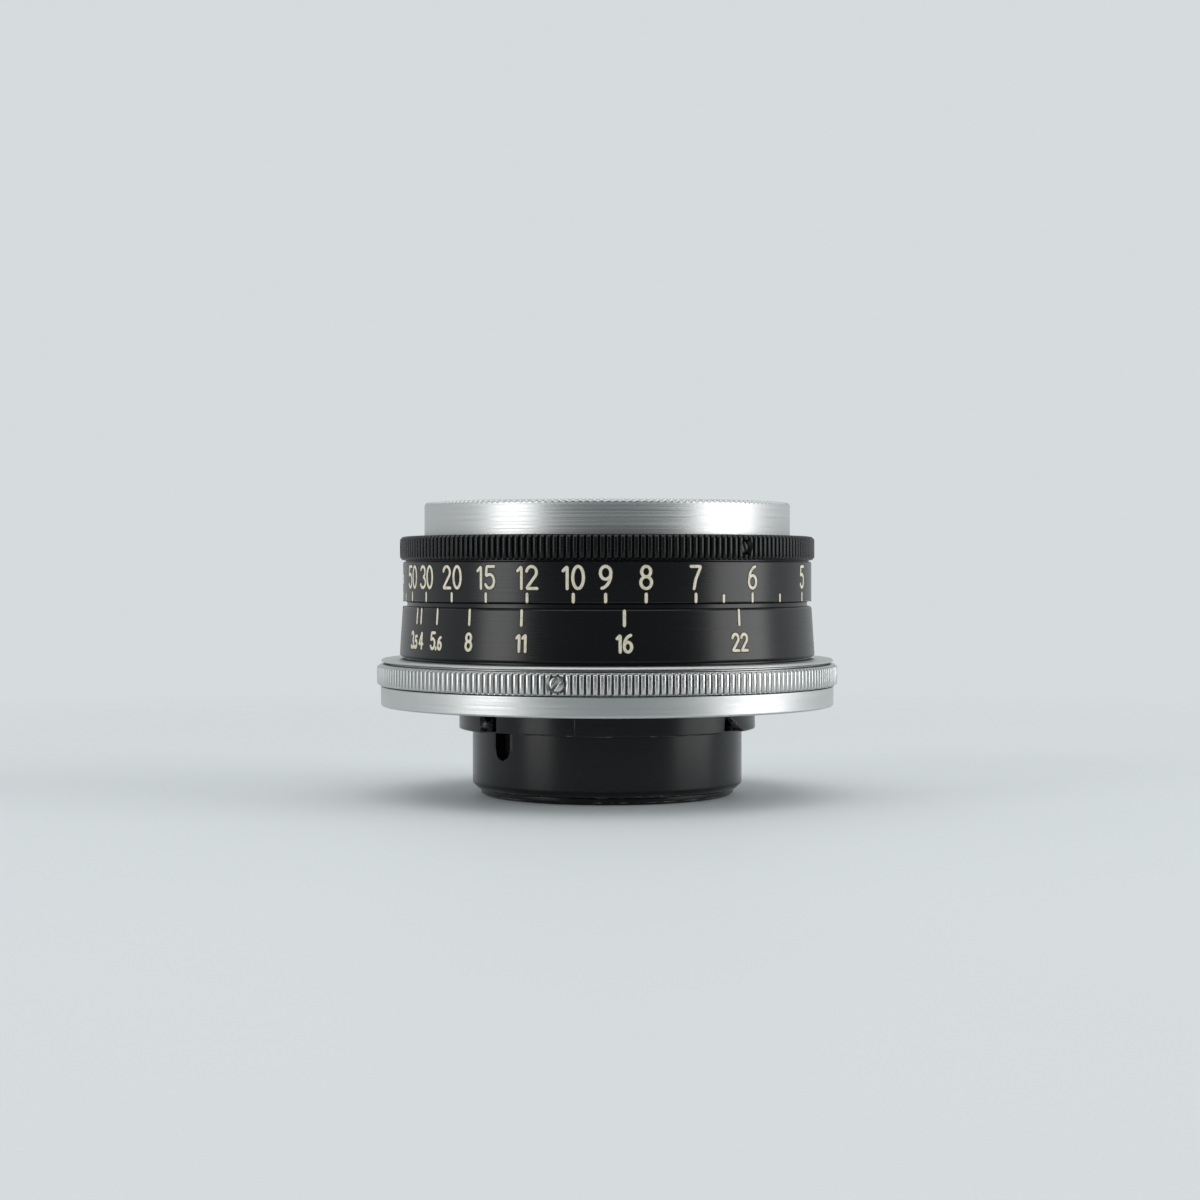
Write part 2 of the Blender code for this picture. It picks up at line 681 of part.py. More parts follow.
def build_iris_drive():
    """Slotted cam ring above the blades, and the bent arm that turns it from the front ring."""
    profile = tube_profile(cam_radius, STOP_RADIUS + CAM_BORE_STEP, cam_low, cam_high)
    cam = turned("iris_cam_ring", profile, aperture, "brass")
    near = cam_radius - CAM_SLOT_LENGTH
    far = cam_radius + CUT_MARGIN
    low = cam_low - CUT_MARGIN
    high = cam_high + CUT_MARGIN
    for i in range(BLADE_COUNT):
        name = "cam_slot_%d" % (i + 1)
        angle = 360.0 * (i + 0.5) / BLADE_COUNT
        cut(cam, name, box_mesh(name, near, far, CAM_SLOT_WIDTH, low, high, angle))
    inner = iris_radius + ARM_OFFSET
    tip = cam_radius - ARM_REACH
    outline = [
        (tip, arm_low),
        (inner + ARM_THICKNESS, arm_low),
        (inner + ARM_THICKNESS, arm_leg_low),
        (skirt_radius, arm_leg_low),
        (skirt_radius, skirt_low - CLEARANCE),
        (skirt_radius - ARM_THICKNESS, skirt_low - CLEARANCE),
        (skirt_radius - ARM_THICKNESS, arm_leg_high),
        (inner, arm_leg_high),
        (inner, arm_high),
        (tip, arm_high),
    ]
    arm = plate_mesh("iris_drive_arm", outline, -ARM_WIDTH / 2, ARM_WIDTH / 2)
    arm.transform(Matrix.Rotation(math.radians(90.0), 4, "X"))
    arm.transform(Matrix.Rotation(math.radians(ARM_DEG), 4, "Z"))
    add_piece("iris_drive_arm", arm, aperture, "bright_steel")


def blade_swing(f_number):
    """Radians that a blade turns from fully open to leave the f-number's opening."""
    opening = STOP_RADIUS * OPEN_F_NUMBER / f_number
    return 2 * math.asin((STOP_RADIUS - opening) / (2 * blade_mid_radius))


def build_blades():
    """Crescent blades, each on its own pivot and level, turned to the rest opening."""
    half = BLADE_WIDTH / 2
    end = BLADE_SPAN_DEG
    tail = arc(blade_mid_radius, 0.0, end)[-1]
    outline = arc(STOP_RADIUS + BLADE_WIDTH, 0.0, end)
    outline += arc(half, end, end + 180.0, tail, CAP_STEP_DEG)[1:-1]
    outline += arc(STOP_RADIUS, end, 0.0)
    outline += arc(half, 180.0, 360.0, (blade_mid_radius, 0.0), CAP_STEP_DEG)[1:-1]
    crescent = [(x - blade_mid_radius, y) for x, y in outline]
    for i in range(BLADE_COUNT):
        name = "iris_blade_%d" % (i + 1)
        turn = 2 * math.pi * i / BLADE_COUNT
        place = (blade_mid_radius * math.cos(turn), blade_mid_radius * math.sin(turn), 0.0)
        pivot = add_empty(name + "_pivot", head, place)
        pivot.rotation_euler.z = turn
        low = blade_low + i * BLADE_PITCH
        mesh = plate_mesh(name, crescent, low, low + BLADE_THICKNESS)
        mesh.transform(Matrix.Rotation(blade_swing(REST_F_NUMBER), 4, "Z"))
        add_piece(name, mesh, pivot, "blued_steel")


def build_rear_glass():
    """Rear cell with the cemented pair and its retaining ring."""
    lip_low = rear_cell_high - CELL_LIP_HEIGHT
    lip_bore = REAR_GLASS_RADIUS + CLEARANCE - CELL_LIP_WIDTH / 2
    profile = [
        (rear_cell_radius, rear_cell_high),
        (rear_cell_radius, rear_cell_high - REAR_CELL_HEIGHT),
        (rear_cell_bore, rear_cell_high - REAR_CELL_HEIGHT),
        (rear_cell_bore, lip_low),
        (lip_bore, lip_low),
        (lip_bore, rear_cell_high),
    ]
    turned("rear_cell", profile, head, "black_anodised")
    radius = REAR_GLASS_RADIUS
    high = lip_low - CLEARANCE
    low = high - REAR_HOLLOW_EDGE
    add_glass("rear_pair_hollow", radius, low, high, REAR_JOINT_CURVE, REAR_HOLLOW_CURVE)
    high = low - CLEARANCE
    low = high - REAR_CROWN_EDGE
    add_glass("rear_pair_crown", radius, low, high, REAR_LAST_CURVE, REAR_JOINT_CURVE)
    ring_bore = radius - GLASS_RING_WIDTH
    high = low + sag(REAR_LAST_CURVE, radius, ring_bore) - CLEARANCE
    ring = tube_profile(radius, ring_bore, high - GLASS_RING_HEIGHT, high)
    turned("rear_retaining_ring", ring, head, "matt_black")


def build_front_glass():
    """Front cell with the hollow second element, the front element and their two rings."""
    second_bore = SECOND_GLASS_RADIUS + CLEARANCE
    lip_high = front_cell_low + CELL_LIP_HEIGHT
    low = lip_high + CLEARANCE
    high = low + SECOND_EDGE
    add_glass("second_element", SECOND_GLASS_RADIUS, low, high, SECOND_CURVE, -SECOND_CURVE)
    shoulder = high + CLEARANCE + GLASS_RING_HEIGHT
    ring = tube_profile(SECOND_GLASS_RADIUS, SECOND_GLASS_RADIUS - GLASS_RING_WIDTH, high + CLEARANCE, shoulder)
    turned("second_retaining_ring", ring, head, "matt_black")
    low = shoulder + CLEARANCE
    high = low + FRONT_EDGE
    add_glass("front_element", FRONT_GLASS_RADIUS, low, high, FRONT_BACK_CURVE, FRONT_CURVE)
    ring_bore = FRONT_GLASS_RADIUS - GLASS_RING_WIDTH
    low = high + sag(FRONT_CURVE, FRONT_GLASS_RADIUS, ring_bore) + CLEARANCE
    high = low + GLASS_RING_HEIGHT
    turned("front_retaining_ring", tube_profile(FRONT_GLASS_RADIUS, ring_bore, low, high), head, "matt_black")
    profile = [
        (front_cell_radius, high),
        (front_cell_radius, front_flange_high),
        (iris_radius, front_flange_high),
        (iris_radius, front_flange_low),
        (cam_radius, front_flange_low),
        (cam_radius, front_cell_low),
        (second_bore - CELL_LIP_WIDTH, front_cell_low),
        (second_bore - CELL_LIP_WIDTH, lip_high),
        (second_bore, lip_high),
        (second_bore, shoulder),
        (front_cell_bore, shoulder),
        (front_cell_bore, high),
    ]
    turned("front_cell", profile, head, "black_anodised")
    return high


def build_cone(cell_high):
    """Light baffle: a collar around the front cell, opening as a cone to the front lip."""
    collar_low = front_flange_high + CLEARANCE
    cone_collar_bore = front_cell_radius + CLEARANCE
    throat_radius = FRONT_GLASS_RADIUS + CONE_THROAT_STEP
    throat_low = cell_high + CLEARANCE
    throat_high = throat_low + CONE_THROAT_HEIGHT
    profile = [
        (cone_lip_radius, cone_lip_high),
        (cone_lip_radius, cone_lip_low),
        (cone_mouth_radius + CONE_WALL, cone_lip_low),
        (cone_collar_bore + CONE_WALL, throat_high),
        (cone_collar_bore + CONE_WALL, collar_low),
        (cone_collar_bore, collar_low),
        (cone_collar_bore, throat_low),
        (throat_radius, throat_low),
        (throat_radius, throat_high),
        (cone_mouth_radius, cone_lip_high),
    ]
    turned("baffle_cone", profile, head, "matt_black", OUTER_STEPS)


def build_front_ring():
    """Aperture ring: the bright outer wall, its floor and the skirt that turns in the head."""
    profile = [
        (front_ring_radius - CHAMFER, front_ring_high),
        (front_ring_radius, front_ring_high - CHAMFER),
        (front_ring_radius, front_floor_low),
        (skirt_radius, front_floor_low),
        (skirt_radius, skirt_low),
        (skirt_bore, skirt_low),
        (skirt_bore, front_floor_high),
        (front_ring_bore, front_floor_high),
        (front_ring_bore, front_ring_high),
    ]
    turned("front_ring", profile, aperture, "satin_chrome", OUTER_STEPS)


reset_scene()
pieces = add_collection("camera_lens")
cutters = add_collection("cutters")
mount = add_empty("mount_axis")
focus = add_empty("focus_axis", mount)
head = add_empty("head_axis", mount)
aperture = add_empty("aperture_axis", head)
build_rear()
build_bayonet()
build_mount_rings()
build_fixed_thread()
build_depth_ring()
build_focus_ring()
build_head()
build_iris_housing()
build_iris_drive()
build_blades()
build_rear_glass()
build_cone(build_front_glass())
build_front_ring()
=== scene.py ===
"""A wide-angle camera lens with its finished surfaces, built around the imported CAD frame.

Every new piece is a surface worked out with numpy. Lengths inside the functions are millimetres and
angles are degrees about the lens's axis, 0 on the camera's side and growing towards +X.
"""

import json
import math

import bpy
import numpy as np
from bpy.props import FloatProperty, FloatVectorProperty, IntProperty, PointerProperty
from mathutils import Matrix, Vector

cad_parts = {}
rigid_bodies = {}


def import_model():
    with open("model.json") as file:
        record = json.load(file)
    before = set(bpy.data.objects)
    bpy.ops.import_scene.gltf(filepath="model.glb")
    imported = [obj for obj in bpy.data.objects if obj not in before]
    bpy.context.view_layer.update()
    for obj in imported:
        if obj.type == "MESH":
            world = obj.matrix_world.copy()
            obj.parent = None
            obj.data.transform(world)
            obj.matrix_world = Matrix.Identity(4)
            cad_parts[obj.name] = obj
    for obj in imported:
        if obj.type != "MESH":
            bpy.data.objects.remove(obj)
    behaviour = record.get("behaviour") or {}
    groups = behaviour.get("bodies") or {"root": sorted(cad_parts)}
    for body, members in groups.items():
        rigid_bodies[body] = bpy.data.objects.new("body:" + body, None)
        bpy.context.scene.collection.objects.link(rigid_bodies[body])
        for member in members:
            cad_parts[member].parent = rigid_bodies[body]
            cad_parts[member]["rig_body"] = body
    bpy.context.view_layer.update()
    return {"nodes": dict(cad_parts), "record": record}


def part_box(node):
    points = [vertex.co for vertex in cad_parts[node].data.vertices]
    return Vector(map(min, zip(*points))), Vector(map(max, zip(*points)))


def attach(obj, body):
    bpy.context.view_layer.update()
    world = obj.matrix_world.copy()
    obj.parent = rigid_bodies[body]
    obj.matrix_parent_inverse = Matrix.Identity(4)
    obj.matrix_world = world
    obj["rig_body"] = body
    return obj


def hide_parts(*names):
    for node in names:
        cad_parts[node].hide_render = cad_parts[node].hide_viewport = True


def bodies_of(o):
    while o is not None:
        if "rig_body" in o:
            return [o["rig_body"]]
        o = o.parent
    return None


bl_info = {
    "name": "Rangefinder Lens Finish",
    "version": (1, 0, 0),
    "blender": (4, 5, 0),
    "location": "View3D > Sidebar > Lens",
    "description": "Builds the finished surfaces of a wide-angle camera lens on its CAD frame",
    "category": "Object",
}

for leftover in list(bpy.data.objects):
    bpy.data.objects.remove(leftover)
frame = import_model()
MM = 0.001
COLUMNS = 256
F_NUMBERS = ("3.5", "4", "5.6", "8", "11", "16", "22")
MOUNT_SCREW_DEG = (-11.6, 108.4, 228.4)
GRIP_SCREW_DEG = (39.0, 159.0, 279.0)
APERTURE_INDEX_DEG = -90.0
SCALE_BORE = 23.95


def linear(code):
    """The linear colour of an sRGB hex code."""
    parts = np.array([int(code[i : i + 2], 16) for i in (1, 3, 5)]) / 255.0
    low, high = parts / 12.92, ((parts + 0.055) / 1.055) ** 2.4
    return (*np.where(parts <= 0.04045, low, high).tolist(), 1.0)


def extent(node):
    """Lowest z, highest z and outer radius of a CAD node at rest, in millimetres."""
    low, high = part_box(node)
    return low.z / MM, high.z / MM, max(high.x, high.y, -low.x, -low.y) / MM


def body_of(node):
    """The name of the CAD body that a node rides on."""
    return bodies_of(frame["nodes"][node])[0]


# ---------------------------------------------------------------- settings


def length_prop(name, text, mm):
    """A length setting, given here in millimetres."""
    return FloatProperty(name=name, description=text, default=mm * MM, unit="LENGTH", subtype="DISTANCE")


def number_prop(name, text, value, **more):
    """A plain number setting."""
    return FloatProperty(name=name, description=text, default=value, **more)


def count_prop(name, text, count):
    """A count of teeth round an edge."""
    return IntProperty(name=name, description=text, default=count, min=60)


def colour_prop(name, text, code):
    """A colour setting, given here as a hex code."""
    return FloatVectorProperty(name=name, description=text, default=linear(code), size=4, subtype="COLOR")


class LensKnurls(bpy.types.PropertyGroup):
    """Teeth of the three gripping edges."""

    grip_teeth: count_prop("Focus grip teeth", "Teeth round the focusing grip", 206)
    mount_teeth: count_prop("Mount ring teeth", "Teeth round the mount ring", 230)
    edge_teeth: count_prop("Front edge teeth", "Fine teeth on the front edge", 170)
    depth: length_prop("Tooth depth", "From crest to valley", 0.3)
    edge_depth: length_prop("Edge tooth depth", "Front edge", 0.26)
    thread_pitch: length_prop("Thread pitch", "Filter thread", 0.75)


class LensScales(bpy.types.PropertyGroup):
    """Figures and strokes of the three scales."""

    stroke: length_prop("Stroke", "Width of a filled groove", 0.4)
    figure_height: length_prop("Distance figures", "Centre line height", 2.5)
    depth_height: length_prop("Depth figures", "Centre line height", 1.88)
    infinity_deg: number_prop("Infinity angle", "Where the focus index stands", -82.15)
    foot_deg: number_prop("Distance law", "Degrees times feet", 719.4)
    near_feet: number_prop("Distance offset", "Feet taken off in the law", 0.2)
    stop_deg: number_prop("Depth law", "Degrees for each f number", 5.41)


class LensColours(bpy.types.PropertyGroup):
    """Colours that a user would change."""

    chrome: colour_prop("Chrome", "Satin chrome", "#CFD0CF")
    enamel: colour_prop("Enamel", "Black enamel", "#0C0C0D")
    fill: colour_prop("Figure fill", "Paint in the grooves", "#EFE6CF")
    index: colour_prop("Index fill", "Paint in the index", "#A8322A")
    floor: colour_prop("Floor", "Studio floor", "#E6EAEB")


class LensStage(bpy.types.PropertyGroup):
    """Camera and lights."""

    distance: length_prop("Camera distance", "From the axis", 281.0)
    height: length_prop("Camera height", "Above the rear rim", 27.6)
    pitch_deg: number_prop("Camera pitch", "Degrees downwards", 0.763)
    yaw_deg: number_prop("Camera yaw", "Degrees to the left", 0.18)
    focal: number_prop("Focal length", "In millimetres, on a 36 mm sensor", 68.2)
    left_power: number_prop("Left softbox", "Watts", 1.5, unit="POWER")
    right_power: number_prop("Right softbox", "Watts", 2.3, unit="POWER")


# ---------------------------------------------------------------- surfaces


def spin(theta_deg, radius, z):
    """Points on the lens: x is radius times the sine, y is minus radius times the cosine, z is the height."""
    theta = np.radians(theta_deg)
    theta, radius, z = np.broadcast_arrays(theta, radius, z)
    return np.stack([radius * np.sin(theta), -radius * np.cos(theta), z], axis=-1)


def grid_shell(points, wrap_rows=True, wrap_columns=True, wear=None, poles=False):
    """Vertices and faces of one grid, closed by wrapping, by an end cap on each open side, or by two poles."""
    rows, columns = points.shape[:2]
    index = np.arange(rows * columns).reshape(rows, columns)
    if wrap_rows:
        index = np.concatenate([index, index[:1]], axis=0)
    if wrap_columns:
        index = np.concatenate([index, index[:, :1]], axis=1)
    quads = np.stack([index[:-1, :-1], index[:-1, 1:], index[1:, 1:], index[1:, :-1]], axis=-1).reshape(-1, 4)
    vertices = points.reshape(-1, 3)
    values = np.zeros(rows * columns) if wear is None else np.broadcast_to(wear, (rows, columns)).reshape(-1)
    faces = [quads]
    if not wrap_columns:
        faces += [index[:-1, 0][None, :], index[:-1, -1][::-1][None, :]]
    if poles:
        count = rows * columns
        centres = points[[0, -1]].mean(axis=1)
        vertices = np.concatenate([vertices, centres])
        values = np.concatenate([values, [0.0, 0.0]])
        near, far = index[0], index[-1]
        faces.append(np.stack([near[1:], near[:-1], np.full(len(near) - 1, count)], axis=-1))
        faces.append(np.stack([far[:-1], far[1:], np.full(len(far) - 1, count + 1)], axis=-1))
    return outward(vertices, faces), values


def outward(vertices, faces):
    """The shell with its faces turned outwards: the signed volume of all its triangle fans is made positive."""
    volume = 0.0
    for block in faces:
        corner = vertices[block]
        for k in range(1, block.shape[1] - 1):
            volume += np.einsum("ij,ij->", corner[:, 0], np.cross(corner[:, k], corner[:, k + 1]))
    if volume < 0.0:
        faces = [block[:, ::-1] for block in faces]
    return vertices, faces


def piece(name, shells, finish, body, nodes=()):
    """One object from several closed shells; the attribute wear is 1 on edges that hands and cases rub, and below
    nought in hollows where shade is painted.
    """
    offset, vertices, blocks, wear = 0, [], [], []
    for (points, faces), values in shells:
        vertices.append(points)
        wear.append(values)
        blocks += [block + offset for block in faces]
        offset += len(points)
    vertices = np.concatenate(vertices) * MM
    loops = np.concatenate([block.reshape(-1) for block in blocks])
    sizes = np.concatenate([np.full(len(block), block.shape[1]) for block in blocks])
    starts = np.concatenate([[0], np.cumsum(sizes)[:-1]])
    mesh = bpy.data.meshes.new(name)
    mesh.vertices.add(len(vertices))
    mesh.vertices.foreach_set("co", vertices.reshape(-1).astype(np.float32))
    mesh.loops.add(len(loops))
    mesh.loops.foreach_set("vertex_index", loops.astype(np.int32))
    mesh.polygons.add(len(sizes))
    mesh.polygons.foreach_set("loop_start", starts.astype(np.int32))
    lowest = np.minimum.reduceat(np.concatenate(wear)[loops], starts)
    mesh.polygons.foreach_set("use_smooth", lowest > -0.5)
    mesh.update(calc_edges=True)
    mesh.attributes.new("wear", "FLOAT", "POINT").data.foreach_set("value", np.concatenate(wear).astype(np.float32))
    if mesh.validate():
        raise RuntimeError(f"{name} had faces that Blender had to mend")
    mesh.materials.append(finish)
    obj = bpy.data.objects.new(name, mesh)
    bpy.context.scene.collection.objects.link(obj)
    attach(obj, body)
    if nodes:
        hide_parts(*nodes)
    return obj


def eased(corners, size=0.12):
    """A closed profile with each corner cut to a short parabola between two support points.

    Round a corner P with unit sides a and b, the five points are P - a(e+s), P - ae, the middle of the
    parabola, P + be and P + b(e+s). Returns the points and the wear, which is 1 in the middle of an outer corner.
    """
    corner = np.asarray(corners, float)
    size = np.broadcast_to(np.asarray(size, float), (len(corner),))
    before, after = corner - np.roll(corner, 1, axis=0), np.roll(corner, -1, axis=0) - corner
    reach, ahead = np.linalg.norm(before, axis=1), np.linalg.norm(after, axis=1)
    a, b = before / reach[:, None], after / ahead[:, None]
    shortest = np.minimum(reach, ahead)
    ease = np.minimum(size, 0.33 * shortest)[:, None]
    support = np.minimum(0.1, 0.12 * shortest)[:, None]
    start, end = corner - a * ease, corner + b * ease
    middle = 0.25 * start + 0.5 * corner + 0.25 * end
    points = np.stack([start - a * support, start, middle, end, end + b * support], axis=1).reshape(-1, 2)
    turn = a[:, 0] * b[:, 1] - a[:, 1] * b[:, 0]
    area = np.sum(corner[:, 0] * np.roll(corner[:, 1], -1) - np.roll(corner[:, 0], -1) * corner[:, 1])
    worn = np.where(turn * np.sign(area) > 0.2, 1.0, 0.0)[:, None] * np.array([0.0, 0.6, 1.0, 0.6, 0.0])
    return points, worn.reshape(-1)


def lathe(corners, size=0.12, columns=COLUMNS):
    """A turned ring: the eased profile carried once round the axis."""
    profile, wear = eased(corners, size)
    theta = np.linspace(0.0, 360.0, columns, endpoint=False)
    return grid_shell(spin(theta[None, :], profile[:, :1], profile[:, 1:]), wear=wear[:, None])


def arc_block(corners, first, last, size=0.1, lean=(0.0, 0.0), low=0.0, high=1.0):
    """A block on an arc: the eased profile carried from one angle to another.

    Each end's angle is moved by its lean times one less the share of the height reached.
    """
    profile, wear = eased(corners, size)
    steps = max(6, int(abs(last - first) / 2.0))
    tip = 0.15 / steps
    inner = np.linspace(0.6 / steps, 1.0 - 0.6 / steps, steps)
    share = np.concatenate([[0.0, tip], inner, [1.0 - tip, 1.0]])
    rise = np.clip((profile[:, 1:] - low) / (high - low), 0.0, 1.0)
    start, end = first + lean[0] * (1.0 - rise), last + lean[1] * (1.0 - rise)
    theta = start + (end - start) * share[None, :]
    ends = np.maximum(0.0, 1.0 - np.minimum(share, 1.0 - share) * steps / 0.15)
    points = spin(theta, profile[:, :1], profile[:, 1:])
    return grid_shell(points, wrap_columns=False, wear=np.maximum(wear[:, None], ends[None, :]))


def tooth_columns(teeth, shares=(0.0, 0.08, 0.50, 0.58, 0.73, 0.85), levels=(0.85, 1.0, 1.0, 0.85, 0.0, 0.0)):
    """Angles of the columns of a knurl and the height of each: crest 1, valley 0, with sloping flanks."""
    pitch = 360.0 / teeth
    theta = ((np.arange(teeth)[:, None] + np.asarray(shares)[None, :]) * pitch).reshape(-1)
    return theta, np.tile(np.asarray(levels, float), teeth)


def seat_rows(theta, height, centres, radius, lows, highs):
    """Heights of two row pairs that close round each screw seat, and where each column is in a seat.

    The heights are plus and minus the root of radius squared less arc distance squared, and small elsewhere.
    """
    arcs = [np.radians((theta - centre + 180.0) % 360.0 - 180.0) * highs for centre in centres]
    arc = np.min(np.abs(arcs), axis=0)
    inside = arc < radius
    half = np.sqrt(np.maximum(radius**2 - arc**2, 0.15**2))
    return height + np.stack([-half - lows, -half, half, half + lows]), inside


def knurled_ring(corners_in, band, depth, teeth, seats=(), seat_radius=1.15, seat_floor=0.6):
    """A ring with a straight knurl.

    The outside rows go valley, crest, four rows that close round the screw seats, crest, valley. The radius of a
    column is the crest less depth times one minus the tooth's height, and inside a seat it is the seat's flat floor.
    """
    low, high, crest, chamfer = band
    theta, level = tooth_columns(teeth)
    middle = (low + high) / 2
    seat_z, inside = seat_rows(theta, middle, seats or (1e3,), seat_radius, 0.03, crest)
    if not seats:
        inside = np.zeros(len(theta), bool)
    one = np.ones(len(theta))
    tooth = crest - depth * (1.0 - level)
    valley = crest - depth
    floor = np.where(inside, crest - seat_floor, tooth)
    rows_r = [valley * one, tooth - 0.04, tooth, tooth, floor, floor, tooth, tooth, tooth - 0.04, valley * one]
    ends = np.array([0.06, chamfer, chamfer + 0.08])
    rows_z = [*(low + ends[:, None] * one), *seat_z, *(high - ends[::-1, None] * one)]
    wear = [0.0, 1.0, 0.5, 0.25, 0.25, 0.25, 0.25, 0.5, 1.0, 0.0]
    profile, inner_wear = eased(corners_in, 0.08)
    radii = np.concatenate([profile[:, :1] * one, np.stack(rows_r)])
    heights = np.concatenate([profile[:, 1:] * one, np.stack(rows_z)])
    # The wear falls below nought in the valleys and the screw seats, where the finishes paint shade with grime.
    tooth_wear = np.asarray(wear)[:, None] * level[None, :] - (np.minimum(1.0, 1.2 - level) * (level < 0.5))[None, :]
    tooth_wear[[0, 9]] = 0.0
    tooth_wear[[4, 5]] = np.where(inside, -0.4, tooth_wear[[4, 5]])
    worn = np.concatenate([inner_wear[:, None] * one * 0.3, tooth_wear])
    return grid_shell(spin(theta[None, :], radii, heights), wear=worn)


def lens_shell(radius, low, high, low_curve, high_curve):
    """A lens element: two spherical surfaces of the given radii, swelling to +z where positive, and a ground edge."""
    share = np.sin(np.linspace(0.06, 1.0, 22) * math.pi / 2)
    ring = radius * share

    def sag(curve):
        """Height above the edge: the root of R squared less r squared, less the same at the edge."""
        return math.copysign(1.0, curve) * (np.sqrt(curve**2 - ring**2) - math.sqrt(curve**2 - radius**2))

    r = np.concatenate([ring, [radius, radius], ring[::-1]])
    z = np.concatenate([low + sag(low_curve), [low + 0.05, high - 0.05], (high + sag(high_curve))[::-1]])
    theta = np.linspace(0.0, 360.0, 128, endpoint=False)
    return grid_shell(spin(theta[None, :], r[:, None], z[:, None]), wrap_rows=False, poles=True)


# ---------------------------------------------------------------- figures


def arc_points(cx, cy, rx, ry, first, last, count=18):
    """Points on an ellipse from one angle to another."""
    t = np.radians(np.linspace(first, last, count))
    return np.stack([cx + rx * np.cos(t), cy + ry * np.sin(t)], axis=-1)


def softened(corners):
    """A line through corners, sampled evenly and averaged over three neighbours, as a round cutter rounds it."""
    corner = np.asarray(corners, float)
    gaps = np.linalg.norm(np.diff(corner, axis=0), axis=1)
    along = np.concatenate([[0.0], np.cumsum(gaps)])
    even = np.linspace(0.0, along[-1], max(8, int(along[-1] / 0.05)))
    line = np.stack([np.interp(even, along, corner[:, k]) for k in (0, 1)], axis=-1)
    smooth = (line[:-2] + 2.0 * line[1:-1] + line[2:]) / 4.0
    return np.concatenate([line[:1], smooth, line[-1:]])


def digit_strokes(sign):
    """Centre lines of one sign in a cell one unit high, as pairs of points and whether the line closes."""
    arc, join = arc_points, np.concatenate
    two = join([arc(0.26, 0.73, 0.26, 0.27, 168, -28), [(0.0, 0.0), (0.54, 0.0)]])
    three = join([arc(0.25, 0.75, 0.24, 0.25, 155, -80), arc(0.25, 0.25, 0.28, 0.25, 80, -155)])
    five = join([[(0.50, 1.0), (0.08, 1.0), (0.04, 0.56)], arc(0.25, 0.32, 0.27, 0.32, 128, -152)])
    six = join([arc(0.50, 0.33, 0.49, 0.66, 98, 170, 12), arc(0.26, 0.29, 0.25, 0.29, 165, 500, 30)])
    t = np.radians(np.linspace(0, 360, 49))[:-1]
    lines = {
        "0": [(arc(0.26, 0.5, 0.26, 0.5, 90, 450, 41)[:-1], True)],
        "1": [(softened([(0.0, 0.80), (0.2, 0.99), (0.2, 0.0)]), False)],
        "2": [(softened(two), False)],
        "3": [(three, False)],
        "4": [(softened([(0.42, 0.0), (0.42, 1.0), (0.0, 0.27), (0.58, 0.27)]), False)],
        "5": [(softened(five), False)],
        "6": [(six, False)],
        "7": [(softened([(0.0, 1.0), (0.52, 1.0), (0.24, 0.40), (0.16, 0.0)]), False)],
        "8": [
            (arc(0.26, 0.765, 0.22, 0.235, 90, 450, 31)[:-1], True),
            (arc(0.26, 0.27, 0.26, 0.27, 90, 450, 35)[:-1], True),
        ],
        "9": [(np.stack([0.52 - six[:, 0], 1.0 - six[:, 1]], axis=-1), False)],
        ".": [(np.array([(0.05, 0.0), (0.05, 0.03), (0.05, 0.06)]), False)],
        "o": [(np.stack([0.5 + 0.48 * np.cos(t), 0.5 + 0.26 * np.sin(2 * t)], axis=-1), True)],
    }
    return lines[sign]


SIGN_WIDTHS = {"1": 0.2, ".": 0.1, "4": 0.58, "o": 1.0}


def figure_lines(text, height, width_scale=1.0, gap=0.27):
    """Centre lines of a number, centred on zero and standing on zero, in millimetres."""
    advance, lines = 0.0, []
    for sign in text:
        wide = SIGN_WIDTHS.get(sign, 0.52)
        for points, closed in digit_strokes(sign):
            lines.append((np.stack([points[:, 0] + advance, points[:, 1]], axis=-1), closed))
        advance += wide + gap
    total = advance - gap
    scale = np.array([height * width_scale, height])
    return [((points - np.array([total / 2, 0.0])) * scale, closed) for points, closed in lines]


def pointed_figures(text, height, width_scale):
    """A number whose figure after the point is cut smaller, as where the scale is crowded."""
    whole, point, part = text.partition(".")
    if not point:
        return figure_lines(text, height, width_scale)
    shares = (0.0, 0.44 * height * width_scale, 0.86 * height * width_scale)
    sizes = (1.0, 1.0, 0.74)
    lines = []
    for sign, share, size in zip((whole, point, part), shares, sizes):
        for points, closed in figure_lines(sign, height * size, width_scale):
            lines.append((points + np.array([share - shares[2] / 2, 0.0]), closed))
    return lines


